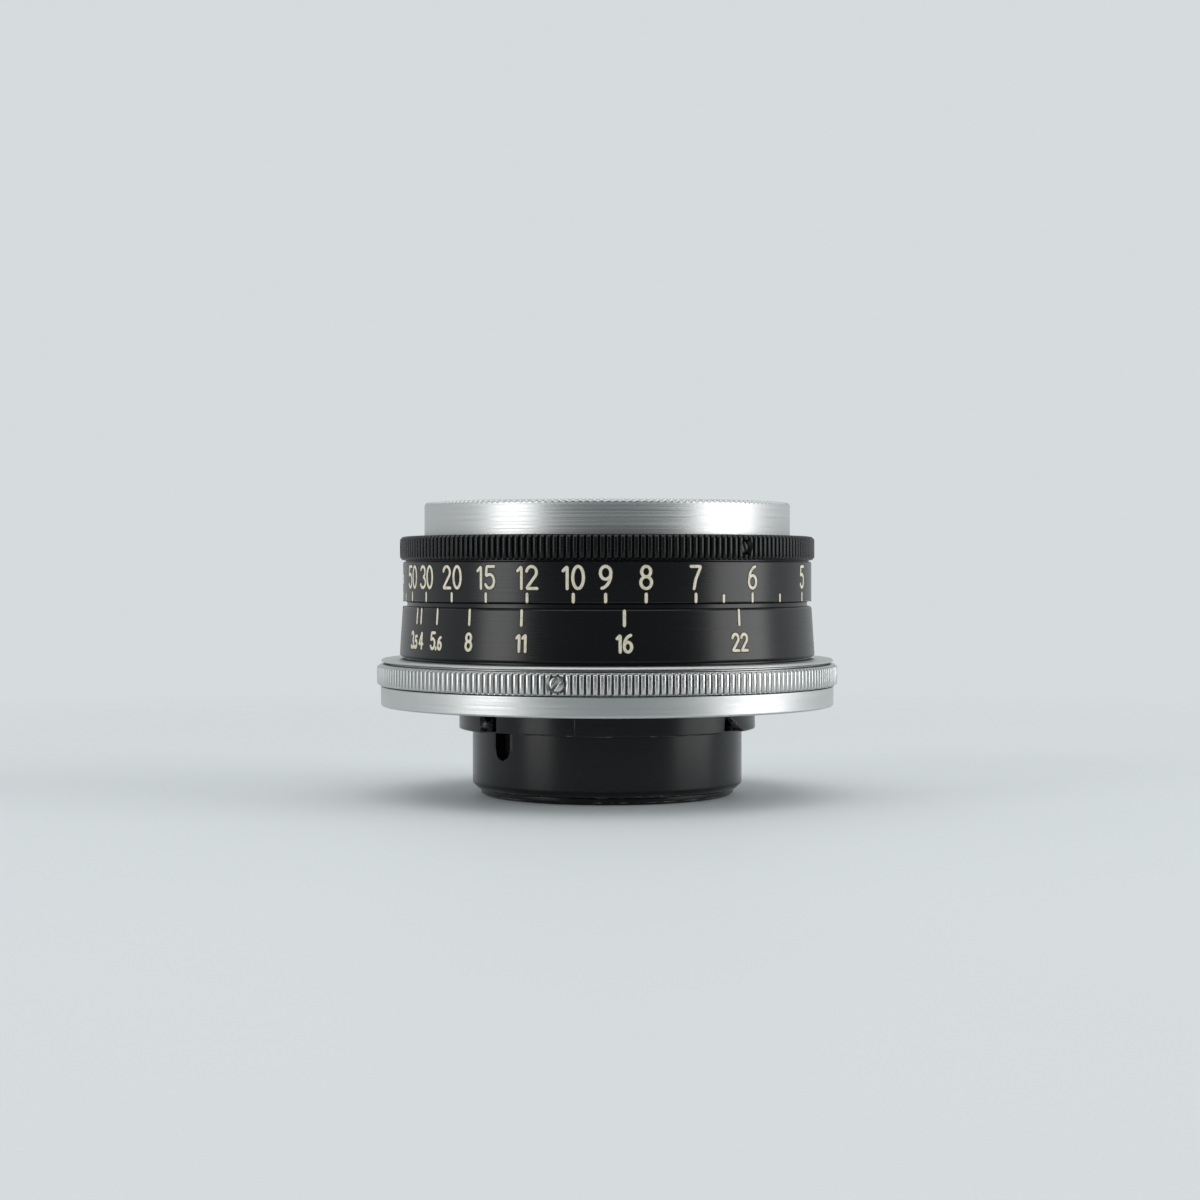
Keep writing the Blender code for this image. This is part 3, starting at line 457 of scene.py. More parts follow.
def ribbon(points, closed, width, crown, sink, place):
    """One filled groove: a crowned section carried along a centre line, with round ends.

    The half width stays constant and shrinks on a circle over each end. The section is crown times one minus the
    square of the distance from the middle, on a foot sunk into the metal. Place turns x, y and height into points.
    """
    line = np.asarray(points, float)
    if closed:
        tangent = np.roll(line, -1, axis=0) - np.roll(line, 1, axis=0)
        half = np.full(len(line), width / 2)
    else:
        lead = np.radians(np.array([84.0, 60.0, 30.0]))
        start = (line[0] - line[1]) / np.linalg.norm(line[0] - line[1])
        end = (line[-1] - line[-2]) / np.linalg.norm(line[-1] - line[-2])
        head = line[0] + start * (width / 2 * np.sin(lead))[:, None]
        tail = line[-1] + end * (width / 2 * np.sin(lead[::-1]))[:, None]
        half = np.concatenate([width / 2 * np.cos(lead), np.full(len(line), width / 2), width / 2 * np.cos(lead[::-1])])
        line = np.concatenate([head, line, tail])
        tangent = np.gradient(line, axis=0)
    tangent /= np.linalg.norm(tangent, axis=1)[:, None]
    normal = np.stack([-tangent[:, 1], tangent[:, 0]], axis=-1)
    across = np.array([-1.0, -1.0, -0.5, 0.0, 0.5, 1.0, 1.0])
    rise = np.array([-sink, 0.0, 0.75 * crown, crown, 0.75 * crown, 0.0, -sink])
    flat = line[None, :, :] + across[:, None, None] * (half[:, None] * normal)[None, :, :]
    spread = half / (width / 2)
    up = np.where(rise > 0, rise, 0.0)[:, None] * spread[None, :] + np.minimum(rise, 0.0)[:, None]
    return grid_shell(place(flat[..., 0], flat[..., 1], up), wrap_columns=closed)


def on_cone(centre_deg, radius_at, base):
    """Places x along the arc and y up the wall, at the wall's own radius there plus the height above it."""

    def place(x, y, up):
        """Angle is the centre plus x over the radius."""
        z = base + y
        radius = radius_at(z)
        return spin(centre_deg + np.degrees(x / radius), radius + up, z)

    return place


def on_face(centre_deg, radius, z):
    """Places x against the turning direction and y outwards on a flat face, so that it reads from the front."""

    def place(x, y, up):
        """Angle is the centre less x over the radius."""
        return spin(centre_deg - np.degrees(x / radius), radius + y, z + up)

    return place


def engraved(marks, stroke, crown, sink=0.12):
    """Shells of many marks; each mark is a list of lines and the placing function for them."""
    return [ribbon(points, closed, stroke, crown, sink, place) for lines, place in marks for points, closed in lines]


def tick(low, high):
    """The centre line of an upright tick."""
    return [(np.stack([np.zeros(5), np.linspace(low, high, 5)], axis=-1), False)]


def painted(name, marks, stroke, finish, body):
    """Two pieces for a set of marks: a wide dark edge, painted shade of the groove's walls, and the narrower paint
    inside it.
    """
    piece(name + "_edge", engraved(marks, stroke + 0.14, 0.008), FINISH["groove_edge"], body)
    piece(name, engraved(marks, stroke, 0.022), FINISH[finish], body)


# ---------------------------------------------------------------- materials


def fill(tree, node, sources):
    """Fills a node's sockets, by name or number, from other nodes' outputs or from plain values."""
    for socket, source in sources.items():
        if isinstance(source, bpy.types.NodeSocket):
            tree.links.new(source, node.inputs[socket])
        else:
            node.inputs[socket].default_value = source
    return node


def add(tree, kind, sources=None, **settings):
    """Adds one node, with its settings and its sockets filled, and returns its outputs."""
    node = tree.nodes.new(kind)
    for key, value in settings.items():
        setattr(node, key, value)
    return fill(tree, node, sources or {}).outputs


def new_material(name):
    """A material with an empty tree but for its output and one Principled shader."""
    material = bpy.data.materials.new(name)
    material.use_nodes = True
    return material, material.node_tree, material.node_tree.nodes["Principled BSDF"]


def turned_lines(tree, per_mm, along=0.03):
    """Noise drawn out round the axis, as a lathe tool leaves it: it changes along radius and height, hardly along
    the arc. Returns the noise's factor."""
    place = add(tree, "ShaderNodeTexCoord")["Object"]
    height = add(tree, "ShaderNodeSeparateXYZ", {"Vector": place})["Z"]
    flat = add(tree, "ShaderNodeVectorMath", {0: place, 1: (1.0, 1.0, 0.0)}, operation="MULTIPLY")["Vector"]
    radius = add(tree, "ShaderNodeVectorMath", {0: flat}, operation="LENGTH")["Value"]
    across = add(tree, "ShaderNodeMath", {0: radius, 1: height}, operation="ADD")[0]
    fine = add(tree, "ShaderNodeMath", {0: across, 1: per_mm / MM}, operation="MULTIPLY")[0]
    slow = add(tree, "ShaderNodeVectorMath", {0: flat, "Scale": along / MM}, operation="SCALE")["Vector"]
    split = add(tree, "ShaderNodeSeparateXYZ", {"Vector": slow})
    joined = add(tree, "ShaderNodeCombineXYZ", {"X": split["X"], "Y": split["Y"], "Z": fine})["Vector"]
    return add(tree, "ShaderNodeTexNoise", {"Vector": joined, "Scale": 1.0, "Detail": 2.0, "Roughness": 0.6})["Fac"]


def spread(tree, source, low, high, from_low=0.3, from_high=0.7):
    """A factor moved from one range to another."""
    ranges = {"From Min": from_low, "From Max": from_high, "To Min": low, "To Max": high}
    return add(tree, "ShaderNodeMapRange", {"Value": source, **ranges})["Result"]


def grain(tree, size_mm, detail=3.0):
    """Plain noise in object space with grains of a real size."""
    place = add(tree, "ShaderNodeTexCoord")["Object"]
    return add(tree, "ShaderNodeTexNoise", {"Vector": place, "Scale": 1.0 / (size_mm * MM), "Detail": detail})["Fac"]


def blend(tree, factor, low, high):
    """One colour mixed with another by a factor."""
    return add(tree, "ShaderNodeMix", {0: factor, 6: low, 7: high}, data_type="RGBA")[2]


def scaled(colour, share, lift=0.0):
    """A colour times a share, plus a lift."""
    return [c * share + lift for c in colour[:3]] + [1.0]


def bump(tree, height, distance_mm):
    """The normal of a relief of a real depth."""
    return add(tree, "ShaderNodeBump", {"Height": height, "Distance": distance_mm * MM, "Strength": 1.0})["Normal"]


def worn_factor(tree):
    """The attribute wear: 1 on edges that are rubbed, below nought in grooves, slots and screw seats, which the
    finishes darken as painted shade with grime.
    """
    return add(tree, "ShaderNodeAttribute", attribute_name="wear")["Fac"]


def groove_grime_and_shade(tree, low=0.1, high=0.9):
    """How deep in a groove a point lies: the mask that paints shade, with grime, into grooves, slots and screw seats.
    """
    return spread(tree, worn_factor(tree), 0.0, 1.0, -low, -high)


def edge_wear(tree, low=0.45, high=0.7, patch_mm=1.1):
    """The wear attribute broken up by noise: 0 where the coat is whole, 1 where it is rubbed through."""
    patch = grain(tree, patch_mm, 4.0)
    both = add(tree, "ShaderNodeMath", {0: worn_factor(tree), 1: patch}, operation="MULTIPLY")[0]
    return spread(tree, both, 0.0, 1.0, low, high)


def metal_finish(name, colour, roughness, lines_per_mm, depth_mm, shade=0.06, dirt="#6E6664"):
    """A turned metal: roughness and tone change from one tool line to the next, and a fine relief catches light.
    Grooves go towards the dirt colour: grime, and painted shade.
    """
    material, tree, shader = new_material(name)
    lines = turned_lines(tree, lines_per_mm)
    tone = blend(tree, spread(tree, lines, 0.0, 1.0), scaled(colour, 1 - shade), colour)
    sources = {
        # Grooves take the dirt colour: painted shade as well as grime.
        "Base Color": blend(tree, groove_grime_and_shade(tree), tone, linear(dirt)),
        "Roughness": spread(tree, lines, roughness * 0.8, roughness * 1.25),
        "Metallic": 1.0,
        "Normal": bump(tree, lines, depth_mm),
    }
    fill(tree, shader, sources)
    return material


def coated_finish(name, colour, roughness, worn_colour, wear=(0.45, 0.7), lines_per_mm=7.0, depth_mm=0.0012, shine=0.3):
    """A dark coat on metal: fine turning lines under the coat, a little dust, bare metal where edges are rubbed, and
    painted shade, near black, in grooves and hollows.
    """
    material, tree, shader = new_material(name)
    lines = turned_lines(tree, lines_per_mm)
    dust = spread(tree, grain(tree, 0.35, 5.0), 0.0, 1.0, 0.66, 0.80)
    rubbed, shaded_hollow = edge_wear(tree, *wear), groove_grime_and_shade(tree)
    dusty = blend(tree, dust, colour, scaled(colour, 2.2, 0.012))
    smooth = spread(tree, lines, roughness * 0.94, roughness * 1.08)
    sources = {
        # Hollows go near black: painted shade, with a little grime.
        "Base Color": blend(tree, shaded_hollow, blend(tree, rubbed, dusty, worn_colour), linear("#050505")),
        "Metallic": rubbed,
        "Roughness": add(tree, "ShaderNodeMath", {0: smooth, 1: shaded_hollow}, operation="MAXIMUM")[0],
        "Specular IOR Level": shine,
        "IOR": 1.5,
        "Normal": bump(tree, lines, depth_mm),
    }
    fill(tree, shader, sources)
    return material


def paint_finish(name, colour, dark):
    """Thick paint wiped into a groove: matt, with small darker specks of old dirt."""
    material, tree, shader = new_material(name)
    dirt = spread(tree, grain(tree, 0.5, 4.0), 0.0, 1.0, 0.5, 0.75)
    sources = {
        "Base Color": blend(tree, dirt, colour, dark),
        "Roughness": spread(tree, dirt, 0.45, 0.65, 0.0, 1.0),
        "IOR": 1.5,
        "Normal": bump(tree, grain(tree, 0.25), 0.01),
    }
    fill(tree, shader, sources)
    return material


def glass_finish(name):
    """Optical glass with a single coating: clear, with a blue-violet tint in its reflections and a trace of dust."""
    material, tree, shader = new_material(name)
    haze = spread(tree, grain(tree, 1.5, 5.0), 0.0, 0.05, 0.5, 0.8)
    sources = {
        "Base Color": blend(tree, haze, linear("#F4F6FA"), linear("#C8CCD0")),
        "Roughness": haze,
        "Transmission Weight": 1.0,
        "IOR": 1.62,
        "Specular Tint": linear("#A99BE8"),
        "Specular IOR Level": 0.18,
    }
    fill(tree, shader, sources)
    return material


def make_finishes(colours):
    """Every finish by its plain name."""
    chrome, enamel = list(colours.chrome), list(colours.enamel)
    # Satin chrome plate on turned brass: bright and cool, with hair-fine rings that smear reflections up and down.
    finishes = {"satin_chrome": metal_finish("satin_chrome_plate_turned", chrome, 0.41, 6.0, 0.0014)}
    # Milled chrome: the same plate on cut teeth, smoother, so each tooth flashes; its valleys go dull brown-grey, grime
    # with painted shade.
    finishes["milled_chrome"] = metal_finish("chrome_plate_on_milled_teeth", chrome, 0.34, 4.0, 0.0008)
    # Black enamel baked on turned brass: deep black with a soft shine and faint rings, brassy where edges are rubbed.
    finishes["black_enamel"] = coated_finish(
        "black_enamel_on_turned_brass", enamel, 0.26, linear("#85806F"), wear=(0.58, 0.85), depth_mm=0.0003, shine=0.4
    )
    # Black anodised aluminium, turned: slightly brown, silvery bright where a camera's throat has rubbed it, and
    # painted near black as shade in the barrel's slot.
    finishes["black_anodised"] = coated_finish(
        "black_anodised_aluminium_turned", linear("#0D0D0E"), 0.24, linear("#A8A9A8"), (0.46, 0.66), 5.0
    )
    # Knurled black enamel: the crests are polished by fingers, the valleys stay dull and are painted near black as
    # shade.
    finishes["knurl_enamel"] = coated_finish(
        "black_enamel_on_knurled_brass", linear("#0E0E0F"), 0.27, linear("#6D675A"), wear=(0.66, 0.95), lines_per_mm=3.0
    )
    # Matt black lacquer: swallows light inside the baffle and barrel.
    finishes["matt_black"] = coated_finish(
        "matt_black_lacquer", linear("#0D0D0D"), 0.75, linear("#2A2A2A"), wear=(0.6, 0.95), lines_per_mm=3.0
    )
    # Turned brass gone brown with age: dull gold with darker rings.
    finishes["brass"] = metal_finish("brass_turned_and_tarnished", linear("#8E7340"), 0.42, 4.0, 0.002, 0.3)
    # Blued spring steel, rolled: dark and bluish, with faint lines.
    finishes["blued_steel"] = metal_finish("blued_spring_steel_rolled", linear("#3A3F48"), 0.32, 3.0, 0.001, 0.2)
    # Bright steel, turned: much smoother than the chrome round it, so the screws glint.
    finishes["bright_steel"] = metal_finish("bright_steel_turned", linear("#CFCFCB"), 0.22, 5.0, 0.002, 0.1)
    # Lacquer wiped into the grooves: matt and a little uneven, with old dirt in it.
    finishes["cream_paint"] = paint_finish("cream_lacquer_wiped_in", list(colours.fill), linear("#CFC3A6"))
    finishes["red_paint"] = paint_finish("red_lacquer_wiped_in", list(colours.index), linear("#7C241F"))
    # The cut edge of a groove: dull, dark enamel as painted shade of the groove's walls, so the paint reads against it;
    # the aperture figures use it as black fill.
    finishes["groove_edge"] = coated_finish("black_enamel_groove_edge", linear("#0A0A0A"), 0.5, linear("#0A0A0A"))
    finishes["coated_glass"] = glass_finish("coated_optical_glass_polished")
    return finishes


FINISH = {}


# ---------------------------------------------------------------- operators


class LENS_OT_finishes(bpy.types.Operator):
    """Makes the materials and gives every carried-over CAD node its own"""

    bl_idname = "lens.finishes"
    bl_label = "Finishes"

    def execute(self, context):
        """Each node takes the finish that its slot in the record names."""
        FINISH.update(make_finishes(context.scene.lens_colours))
        slots = {row["node"]: row["material_slot"] for row in frame["record"]["subparts"]}
        for name, node in frame["nodes"].items():
            node.data.materials.clear()
            node.data.materials.append(FINISH[slots[name]])
        return {"FINISHED"}


class LENS_OT_rear(bpy.types.Operator):
    """Rear rim, slotted barrel and three-lug bayonet"""

    bl_idname = "lens.rear"
    bl_label = "Rear Barrel and Bayonet"

    def execute(self, context):
        """The barrel's slot is a pocket whose bottom follows a half circle; the lugs are blocks on arcs."""
        black = FINISH["black_anodised"]
        low, high, radius = extent("rear_rim_ring")
        rim = [(13.7, low), (radius - 0.35, low), (radius, low + 0.3), (radius, high + 0.25), (13.7, high + 0.25)]
        piece("rear_rim_turned", [lathe(rim, 0.1)], black, "mount", ["rear_rim_ring"])
        piece("rear_barrel_turned", [self.barrel()], black, "mount", ["rear_barrel"])
        piece("bayonet_lugs", self.bayonet(), black, "mount", ["bayonet_ring"])
        return {"FINISHED"}

    def barrel(self, slot_deg=-48.5, half=1.3, floor=15.25):
        """Barrel wall with columns packed at the slot's sides and a row pair along its half-round bottom."""
        low, high, radius = extent("rear_barrel")
        top = 8.3
        even = np.linspace(-180.0, 180.0, COLUMNS, endpoint=False)
        side = np.degrees(np.array([-1.03, -0.999, -0.97, -0.88, -0.7, 0.7, 0.88, 0.97, 0.999, 1.03]) * half / radius)
        theta = np.sort(np.concatenate([even[np.abs(even - slot_deg) > 5.2], slot_deg + side, [slot_deg]]))
        arc = np.radians(theta - slot_deg) * radius
        inside = np.abs(arc) < half
        centre = extent("bayonet_ring")[0] - 3.31 + half
        edge = centre - np.sqrt(np.maximum(half**2 - arc**2, 0.0))
        one = np.ones(len(theta))
        pocket = np.where(inside, floor, radius)
        rows = [
            (15.0 * one, low * one),
            ((radius - 0.75) * one, low * one),
            ((radius - 0.6) * one, (low + 0.03) * one),
            ((radius - 0.1) * one, (low + 0.5) * one),
            (radius * one, (low + 0.72) * one),
            (radius * one, (low + 0.85) * one),
            (radius * one, edge - 0.16),
            (radius * one, edge - 0.03),
            (pocket, edge),
            (pocket, np.maximum(edge + 0.1, centre * one)),
            (pocket, (top - 0.1) * one),
            (pocket, top * one),
            (15.9 * one - np.where(inside, 15.9 - floor, 0.0), (top + 0.02) * one),
            (15.9 * one - np.where(inside, 15.9 - floor, 0.0), high * one),
            (15.0 * one, high * one),
        ]
        wear = np.array([0, 0, 0.9, 0.5, 0.4, 0, 0, 0, 0, 0, 0.2, 0.5, 0, 0, 0])[:, None] * one
        # The slot's pocket gets a wear of minus one, so its finish paints it near black: painted shade.
        wear[8:] = np.where(inside, -1.0, wear[8:])
        r, z = (np.stack([row[k] for row in rows]) for k in (0, 1))
        return grid_shell(spin(theta[None, :], r, z), wear=wear)

    def bayonet(self):
        """Collar arcs between the lugs, the lugs themselves with one slanted end, and the thin plate over them."""
        low, high, radius = extent("bayonet_ring")
        top, bore, collar = high + 0.28, 16.2, 17.25
        lug = [(bore, low), (radius, low), (radius, top), (bore, top)]
        ring = [(bore, low), (collar, low), (collar, top), (bore, top)]
        plate = [(bore, 10.3), (radius, 10.3), (radius, top), (bore, top)]
        lean = {"low": low, "high": 10.4}
        return [
            arc_block(lug, -118.0, -56.0),
            arc_block(ring, -50.0, -11.9),
            arc_block(lug, -12.0, 50.0, lean=(0.0, -0.6), **lean),
            arc_block(lug, 52.0, 126.0, lean=(12.0, 0.0), **lean),
            arc_block(plate, 49.9, 64.0, 0.05),
            arc_block(ring, 125.9, 242.1),
        ]


class LENS_OT_mount_rings(bpy.types.Operator):
    """Chrome disc, knurled mount ring, its screws and the thin cover disc"""

    bl_idname = "lens.mount_rings"
    bl_label = "Mount Rings"

    def execute(self, context):
        """The disc and cover are turned; the knurl is cut in columns with a round seat for each screw."""
        knurls = context.scene.lens_knurls
        low, high, radius = extent("mount_disc")
        bore = 18.6
        disc = [(15.4, low + 0.1), (bore, low + 0.1), (bore, low), (radius - 0.18, low), (radius, low + 0.18)]
        disc += [(radius, high + 0.1), (15.4, high + 0.1)]
        chrome = FINISH["satin_chrome"]
        piece("mount_disc_turned", [lathe(disc, 0.06)], chrome, "mount", ["mount_disc"])
        low, high, radius = extent("mount_grip_ring")
        low, high = low - 0.1, high + 0.08
        inner = [(radius - 0.55, high), (24.9, high), (24.9, low), (radius - 0.55, low)]
        band = (low, high, radius, 0.26)
        ring = knurled_ring(inner, band, knurls.depth / MM, knurls.mount_teeth, MOUNT_SCREW_DEG, 1.12, 0.5)
        piece("mount_grip_knurled", [ring], FINISH["milled_chrome"], "mount", ["mount_grip_ring"])
        low, high, radius = extent("cover_disc")
        cover = [(23.9, low - 0.2), (26.9, low - 0.2), (26.9, low), (radius - 0.25, low), (radius, low + 0.15)]
        cover += [(radius - 0.2, high), (23.9, high)]
        piece("cover_disc_turned", [lathe(cover, 0.06)], chrome, "mount", ["cover_disc"])
        for number, angle in enumerate(MOUNT_SCREW_DEG, 1):
            node = f"mount_grip_screw_{number}"
            screw = slotted_screw(angle, 14.78, 0.84, 25.2, 28.2, 0.17, -38.0)
            piece(f"mount_screw_slotted_{number}", [screw], FINISH["bright_steel"], "mount", [node])
        return {"FINISHED"}


def slotted_screw(angle, z, radius, near, far, slot_half, tilt_deg, slot_depth=0.35):
    """A slotted screw head facing outwards.

    The face is a disc grid whose rows run along the slot; x across the slot is packed at the slot's sides, and the
    height drops by the slot's depth between them. Rings from the edge to the shaft close it behind.
    """
    across = np.array([-1.0, -0.97, -0.9, -0.6, -0.32, -0.22, -0.2, 0.0, 0.2, 0.22, 0.32, 0.6, 0.9, 0.97, 1.0])
    u = across * radius
    u[5:10] = np.array([-1.12, -1.0, 0.0, 1.0, 1.12]) * slot_half
    chord = np.sqrt(np.maximum(radius**2 - u**2, (0.05 * radius) ** 2))
    v = np.linspace(-1.0, 1.0, 15)
    x = np.broadcast_to(u[:, None], (len(u), len(v)))
    y = chord[:, None] * v[None, :]
    in_slot = np.abs(x) <= slot_half * 1.02
    dome = 0.10 * np.sqrt(np.maximum(1.0 - (x**2 + y**2) / radius**2, 0.0))
    top = np.where(in_slot, -slot_depth, dome) - 0.1
    tilt = math.radians(tilt_deg)
    sideways = x * math.cos(tilt) - y * math.sin(tilt)
    upwards = x * math.sin(tilt) + y * math.cos(tilt)

    def stand(level):
        """Points at a level above the far end, turned to the screw's angle."""
        turn = math.radians(angle)
        r = far + level
        x_out = r * math.sin(turn) + sideways * math.cos(turn)
        y_out = -r * math.cos(turn) + sideways * math.sin(turn)
        return np.stack([x_out, y_out, z + upwards], axis=-1)

    front, back = stand(top), stand(np.full_like(top, near - far))
    rows, columns = front.shape[:2]
    index = np.arange(rows * columns).reshape(rows, columns)
    border = np.concatenate([index[0, :-1], index[:-1, -1], index[-1, :0:-1], index[:0:-1, 0]])
    quads = np.stack([index[:-1, :-1], index[1:, :-1], index[1:, 1:], index[:-1, 1:]], axis=-1).reshape(-1, 4)
    behind = quads[:, ::-1] + rows * columns
    after = np.roll(border, -1)
    wall = np.stack([border, border + rows * columns, after + rows * columns, after], axis=-1)
    vertices = np.concatenate([front.reshape(-1, 3), back.reshape(-1, 3)])
    values = np.zeros(len(vertices))
    return outward(vertices, [quads, behind, wall[:, ::-1]]), values


def depth_radius(z):
    """Radius of the depth ring's tapered wall at a height."""
    low, high, _ = extent("depth_scale_ring")
    return 25.55 + (25.15 - 25.55) * (z - low) / (high - low)


class LENS_OT_depth_ring(bpy.types.Operator):
    """Fixed depth-of-field ring with its engraved figures"""

    bl_idname = "lens.depth_ring"
    bl_label = "Depth Scale Ring"

    def execute(self, context):
        """The figures stand both ways from the focus index, at its angle plus and minus the law times the f number."""
        scales = context.scene.lens_scales
        low, high, _ = extent("depth_scale_ring")
        groove = high + 0.54
        corners = [
            (SCALE_BORE, low - 0.27),
            (24.9, low - 0.27),
            (24.9, low),
            (25.30, low),
            (depth_radius(low + 0.25), low + 0.25),
            (depth_radius(high - 0.22), high - 0.22),
            (24.95, high),
            (24.62, high + 0.02),
            (24.62, groove),
            (SCALE_BORE, groove),
        ]
        ring = lathe(corners, (0.1, 0.05, 0.05, 0.08, 0.06, 0.08, 0.06, 0.05, 0.05, 0.1))
        piece("depth_ring_turned", [ring], FINISH["black_enamel"], "mount", ["depth_scale_ring"])
        marks, ticks = [], []
        crowded = {"3.5": (0.72, -1.2), "4": (0.88, 0.6)}
        for name in F_NUMBERS:
            for side in (-1.0, 1.0):
                angle = scales.infinity_deg + side * scales.stop_deg * float(name)
                narrow, push = crowded.get(name, (0.88, 0.0))
                figures = pointed_figures(name, scales.depth_height / MM, narrow)
                marks.append((figures, on_cone(angle + side * push, depth_radius, 18.34)))
                ticks.append((tick(21.32, 22.92), on_cone(angle, depth_radius, 0.0)))
        painted("depth_figures", marks + ticks, scales.stroke / MM, "cream_paint", "mount")
        index = [(tick(18.4, 22.85), on_cone(scales.infinity_deg, depth_radius, 0.0))]
        painted("depth_index", index, 0.5, "red_paint", "mount")
        return {"FINISHED"}


class LENS_OT_distance_ring(bpy.types.Operator):
    """Turning distance ring with its engraved figures"""

    bl_idname = "lens.distance_ring"
    bl_label = "Distance Scale Ring"

    def execute(self, context):
        """A distance stands at the infinity angle plus the law's constant over the distance less a small offset."""
        scales = context.scene.lens_scales
        low, high, radius = extent("distance_scale_ring")
        corners = [(SCALE_BORE, low), (radius - 0.2, low), (radius, low + 0.16), (radius, high + 0.02)]
        corners += [(radius - 0.12, high + 0.14), (24.8, high + 0.14), (24.8, high + 0.27), (SCALE_BORE, high + 0.27)]
        ring = lathe(corners, (0.1, 0.06, 0.05, 0.06, 0.05, 0.03, 0.03, 0.1))
        enamel = FINISH["black_enamel"]
        piece("distance_ring_turned", [ring], enamel, "focus_ring", ["distance_scale_ring"])

        def wall(z):
            """The sleeve's wall is a plain cylinder."""
            return radius + 0.0 * z

        marks = []
        for name in ("o", "50", "30", "20", "15", "12", "10", "9", "8", "7", "6", "5", "4", "3.5", "3"):
            angle = scales.infinity_deg
            if name != "o":
                angle += scales.foot_deg / (float(name) - scales.near_feet)
            tight = 0.2 if name in ("50", "30") else 0.27
            height = scales.figure_height / MM * (0.8 if name == "o" else 1.0)
            marks.append((figure_lines(name, height, 0.94, tight), on_cone(angle, wall, 25.48)))
            marks.append((tick(24.0, 24.82), on_cone(angle, wall, 0.0)))
        for feet in (6.5, 5.5, 4.5, 100.0):
            angle = scales.infinity_deg + scales.foot_deg / (feet - scales.near_feet)
            marks.append((tick(24.0, 24.62), on_cone(angle, wall, 0.0)))
        painted("distance_figures", marks, scales.stroke / MM, "cream_paint", "focus_ring")
        return {"FINISHED"}


class LENS_OT_focus_grip(bpy.types.Operator):
    """Knurled black focusing grip with its grub screws"""

    bl_idname = "lens.focus_grip"
    bl_label = "Focus Grip"

    def execute(self, context):
        """A straight knurl with a small round seat for each grub screw."""
        knurls = context.scene.lens_knurls
        low, high, radius = extent("focus_grip")
        low, high = low - 0.02, high + 0.1
        inner = [(radius - 0.6, high), (24.0, high), (24.0, low), (radius - 0.6, low)]
        band = (low, high, radius, 0.34)
        ring = knurled_ring(inner, band, knurls.depth / MM, knurls.grip_teeth, GRIP_SCREW_DEG, 0.85, 0.75)
        piece("focus_grip_knurled", [ring], FINISH["knurl_enamel"], "focus_ring", ["focus_grip"])
        for number, angle in enumerate(GRIP_SCREW_DEG, 1):
            node = f"grip_set_screw_{number}"
            screw = slotted_screw(angle, 30.18, 0.72, 24.1, 25.15, 0.12, 20.0)
            black = FINISH["black_anodised"]
            piece(f"grip_grub_screw_{number}", [screw], black, "focus_ring", [node])
        return {"FINISHED"}


def blade_lift(f_number, open_f_number=3.5, reach=0.35):
    """Half a blade's swing at an f number: the arc sine of the reach times one less the share of the opening left."""
    return math.asin(reach * (1.0 - open_f_number / f_number))


class LENS_OT_front_ring(bpy.types.Operator):
    """Chrome front ring with a milled edge, a filter thread and the aperture figures"""

    bl_idname = "lens.front_ring"
    bl_label = "Front Ring"

    def execute(self, context):
        """The inside is a helix: the bore less a little, plus a triangle wave of height over pitch less the turn."""
        knurls = context.scene.lens_knurls
        _, high, radius = extent("front_ring")
        shares, levels = (0.0, 0.12, 0.38, 0.5, 0.7, 0.8), (0.7, 1.0, 1.0, 0.7, 0.0, 0.0)
        theta, level = tooth_columns(knurls.edge_teeth, shares, levels)
        one = np.ones(len(theta))
        cut = knurls.edge_depth / MM * (1.0 - level)
        rows = [(19.3, 28.3), (19.3, 28.36), (19.3, 30.5), (19.36, 30.56), (radius - 0.1, 30.56), (radius, 30.66)]
        rows += [(radius, 30.8), (radius, high - 0.5), (radius, high - 0.36)]
        r = [a * one for a, _ in rows]
        r += [radius - 0.02 - cut * 0.6, radius - 0.22 - cut * 0.5, radius - 0.62 - cut * 0.3, radius - 0.75 * one]
        z = [b * one for _, b in rows] + [high - 0.24 * one, high - cut, high - cut * 0.6, high - 0.06 * one]
        wear = [0.0] * 9 + [0.6, 1.0, 0.5, 0.0]
        bore, pitch = 21.5, knurls.thread_pitch / MM
        heights = np.arange(high - 0.25, 31.95, -pitch / 6.0)
        wave = np.abs(((heights[:, None] / pitch - theta[None, :] / 360.0) % 1.0) - 0.5) * 2.0
        fade = np.clip((heights - 32.0) / 0.4, 0.0, 1.0)[:, None]
        r += list(bore - 0.05 + 0.22 * wave * fade)
        z += list(heights[:, None] * one)
        tail = [(bore, 31.7), (bore, 31.28), (bore - 0.1, 31.2), (bore - 0.3, 31.2)]
        tail += [(18.85, 31.2), (18.75, 31.1), (18.75, 28.4), (18.8, 28.3)]
        r += [a * one for a, _ in tail]
        z += [b * one for _, b in tail]
        wear += [0.0] * (len(heights) + len(tail))
        shell = grid_shell(spin(theta[None, :], np.stack(r), np.stack(z)), wear=np.asarray(wear)[:, None] * one)
        piece("front_ring_milled", [shell], FINISH["satin_chrome"], "aperture_ring", ["front_ring"])
        joints = {joint["name"]: joint for joint in frame["record"]["behaviour"]["joints"]}
        turn = joints["aperture_turn"]["range_deg"]
        marks = []
        for name in F_NUMBERS:
            share = blade_lift(float(name)) / blade_lift(22.0)
            angle = APERTURE_INDEX_DEG - (turn[0] + (turn[1] - turn[0]) * share)
            marks.append((figure_lines(name, 1.05, 0.9, 0.25), on_face(angle, 20.05, 31.2)))
            marks.append((tick(-0.75, -0.35), on_face(angle, 20.05, 31.2)))
        piece("aperture_figures", engraved(marks, 0.2, 0.015, 0.08), FINISH["groove_edge"], "aperture_ring")
        return {"FINISHED"}


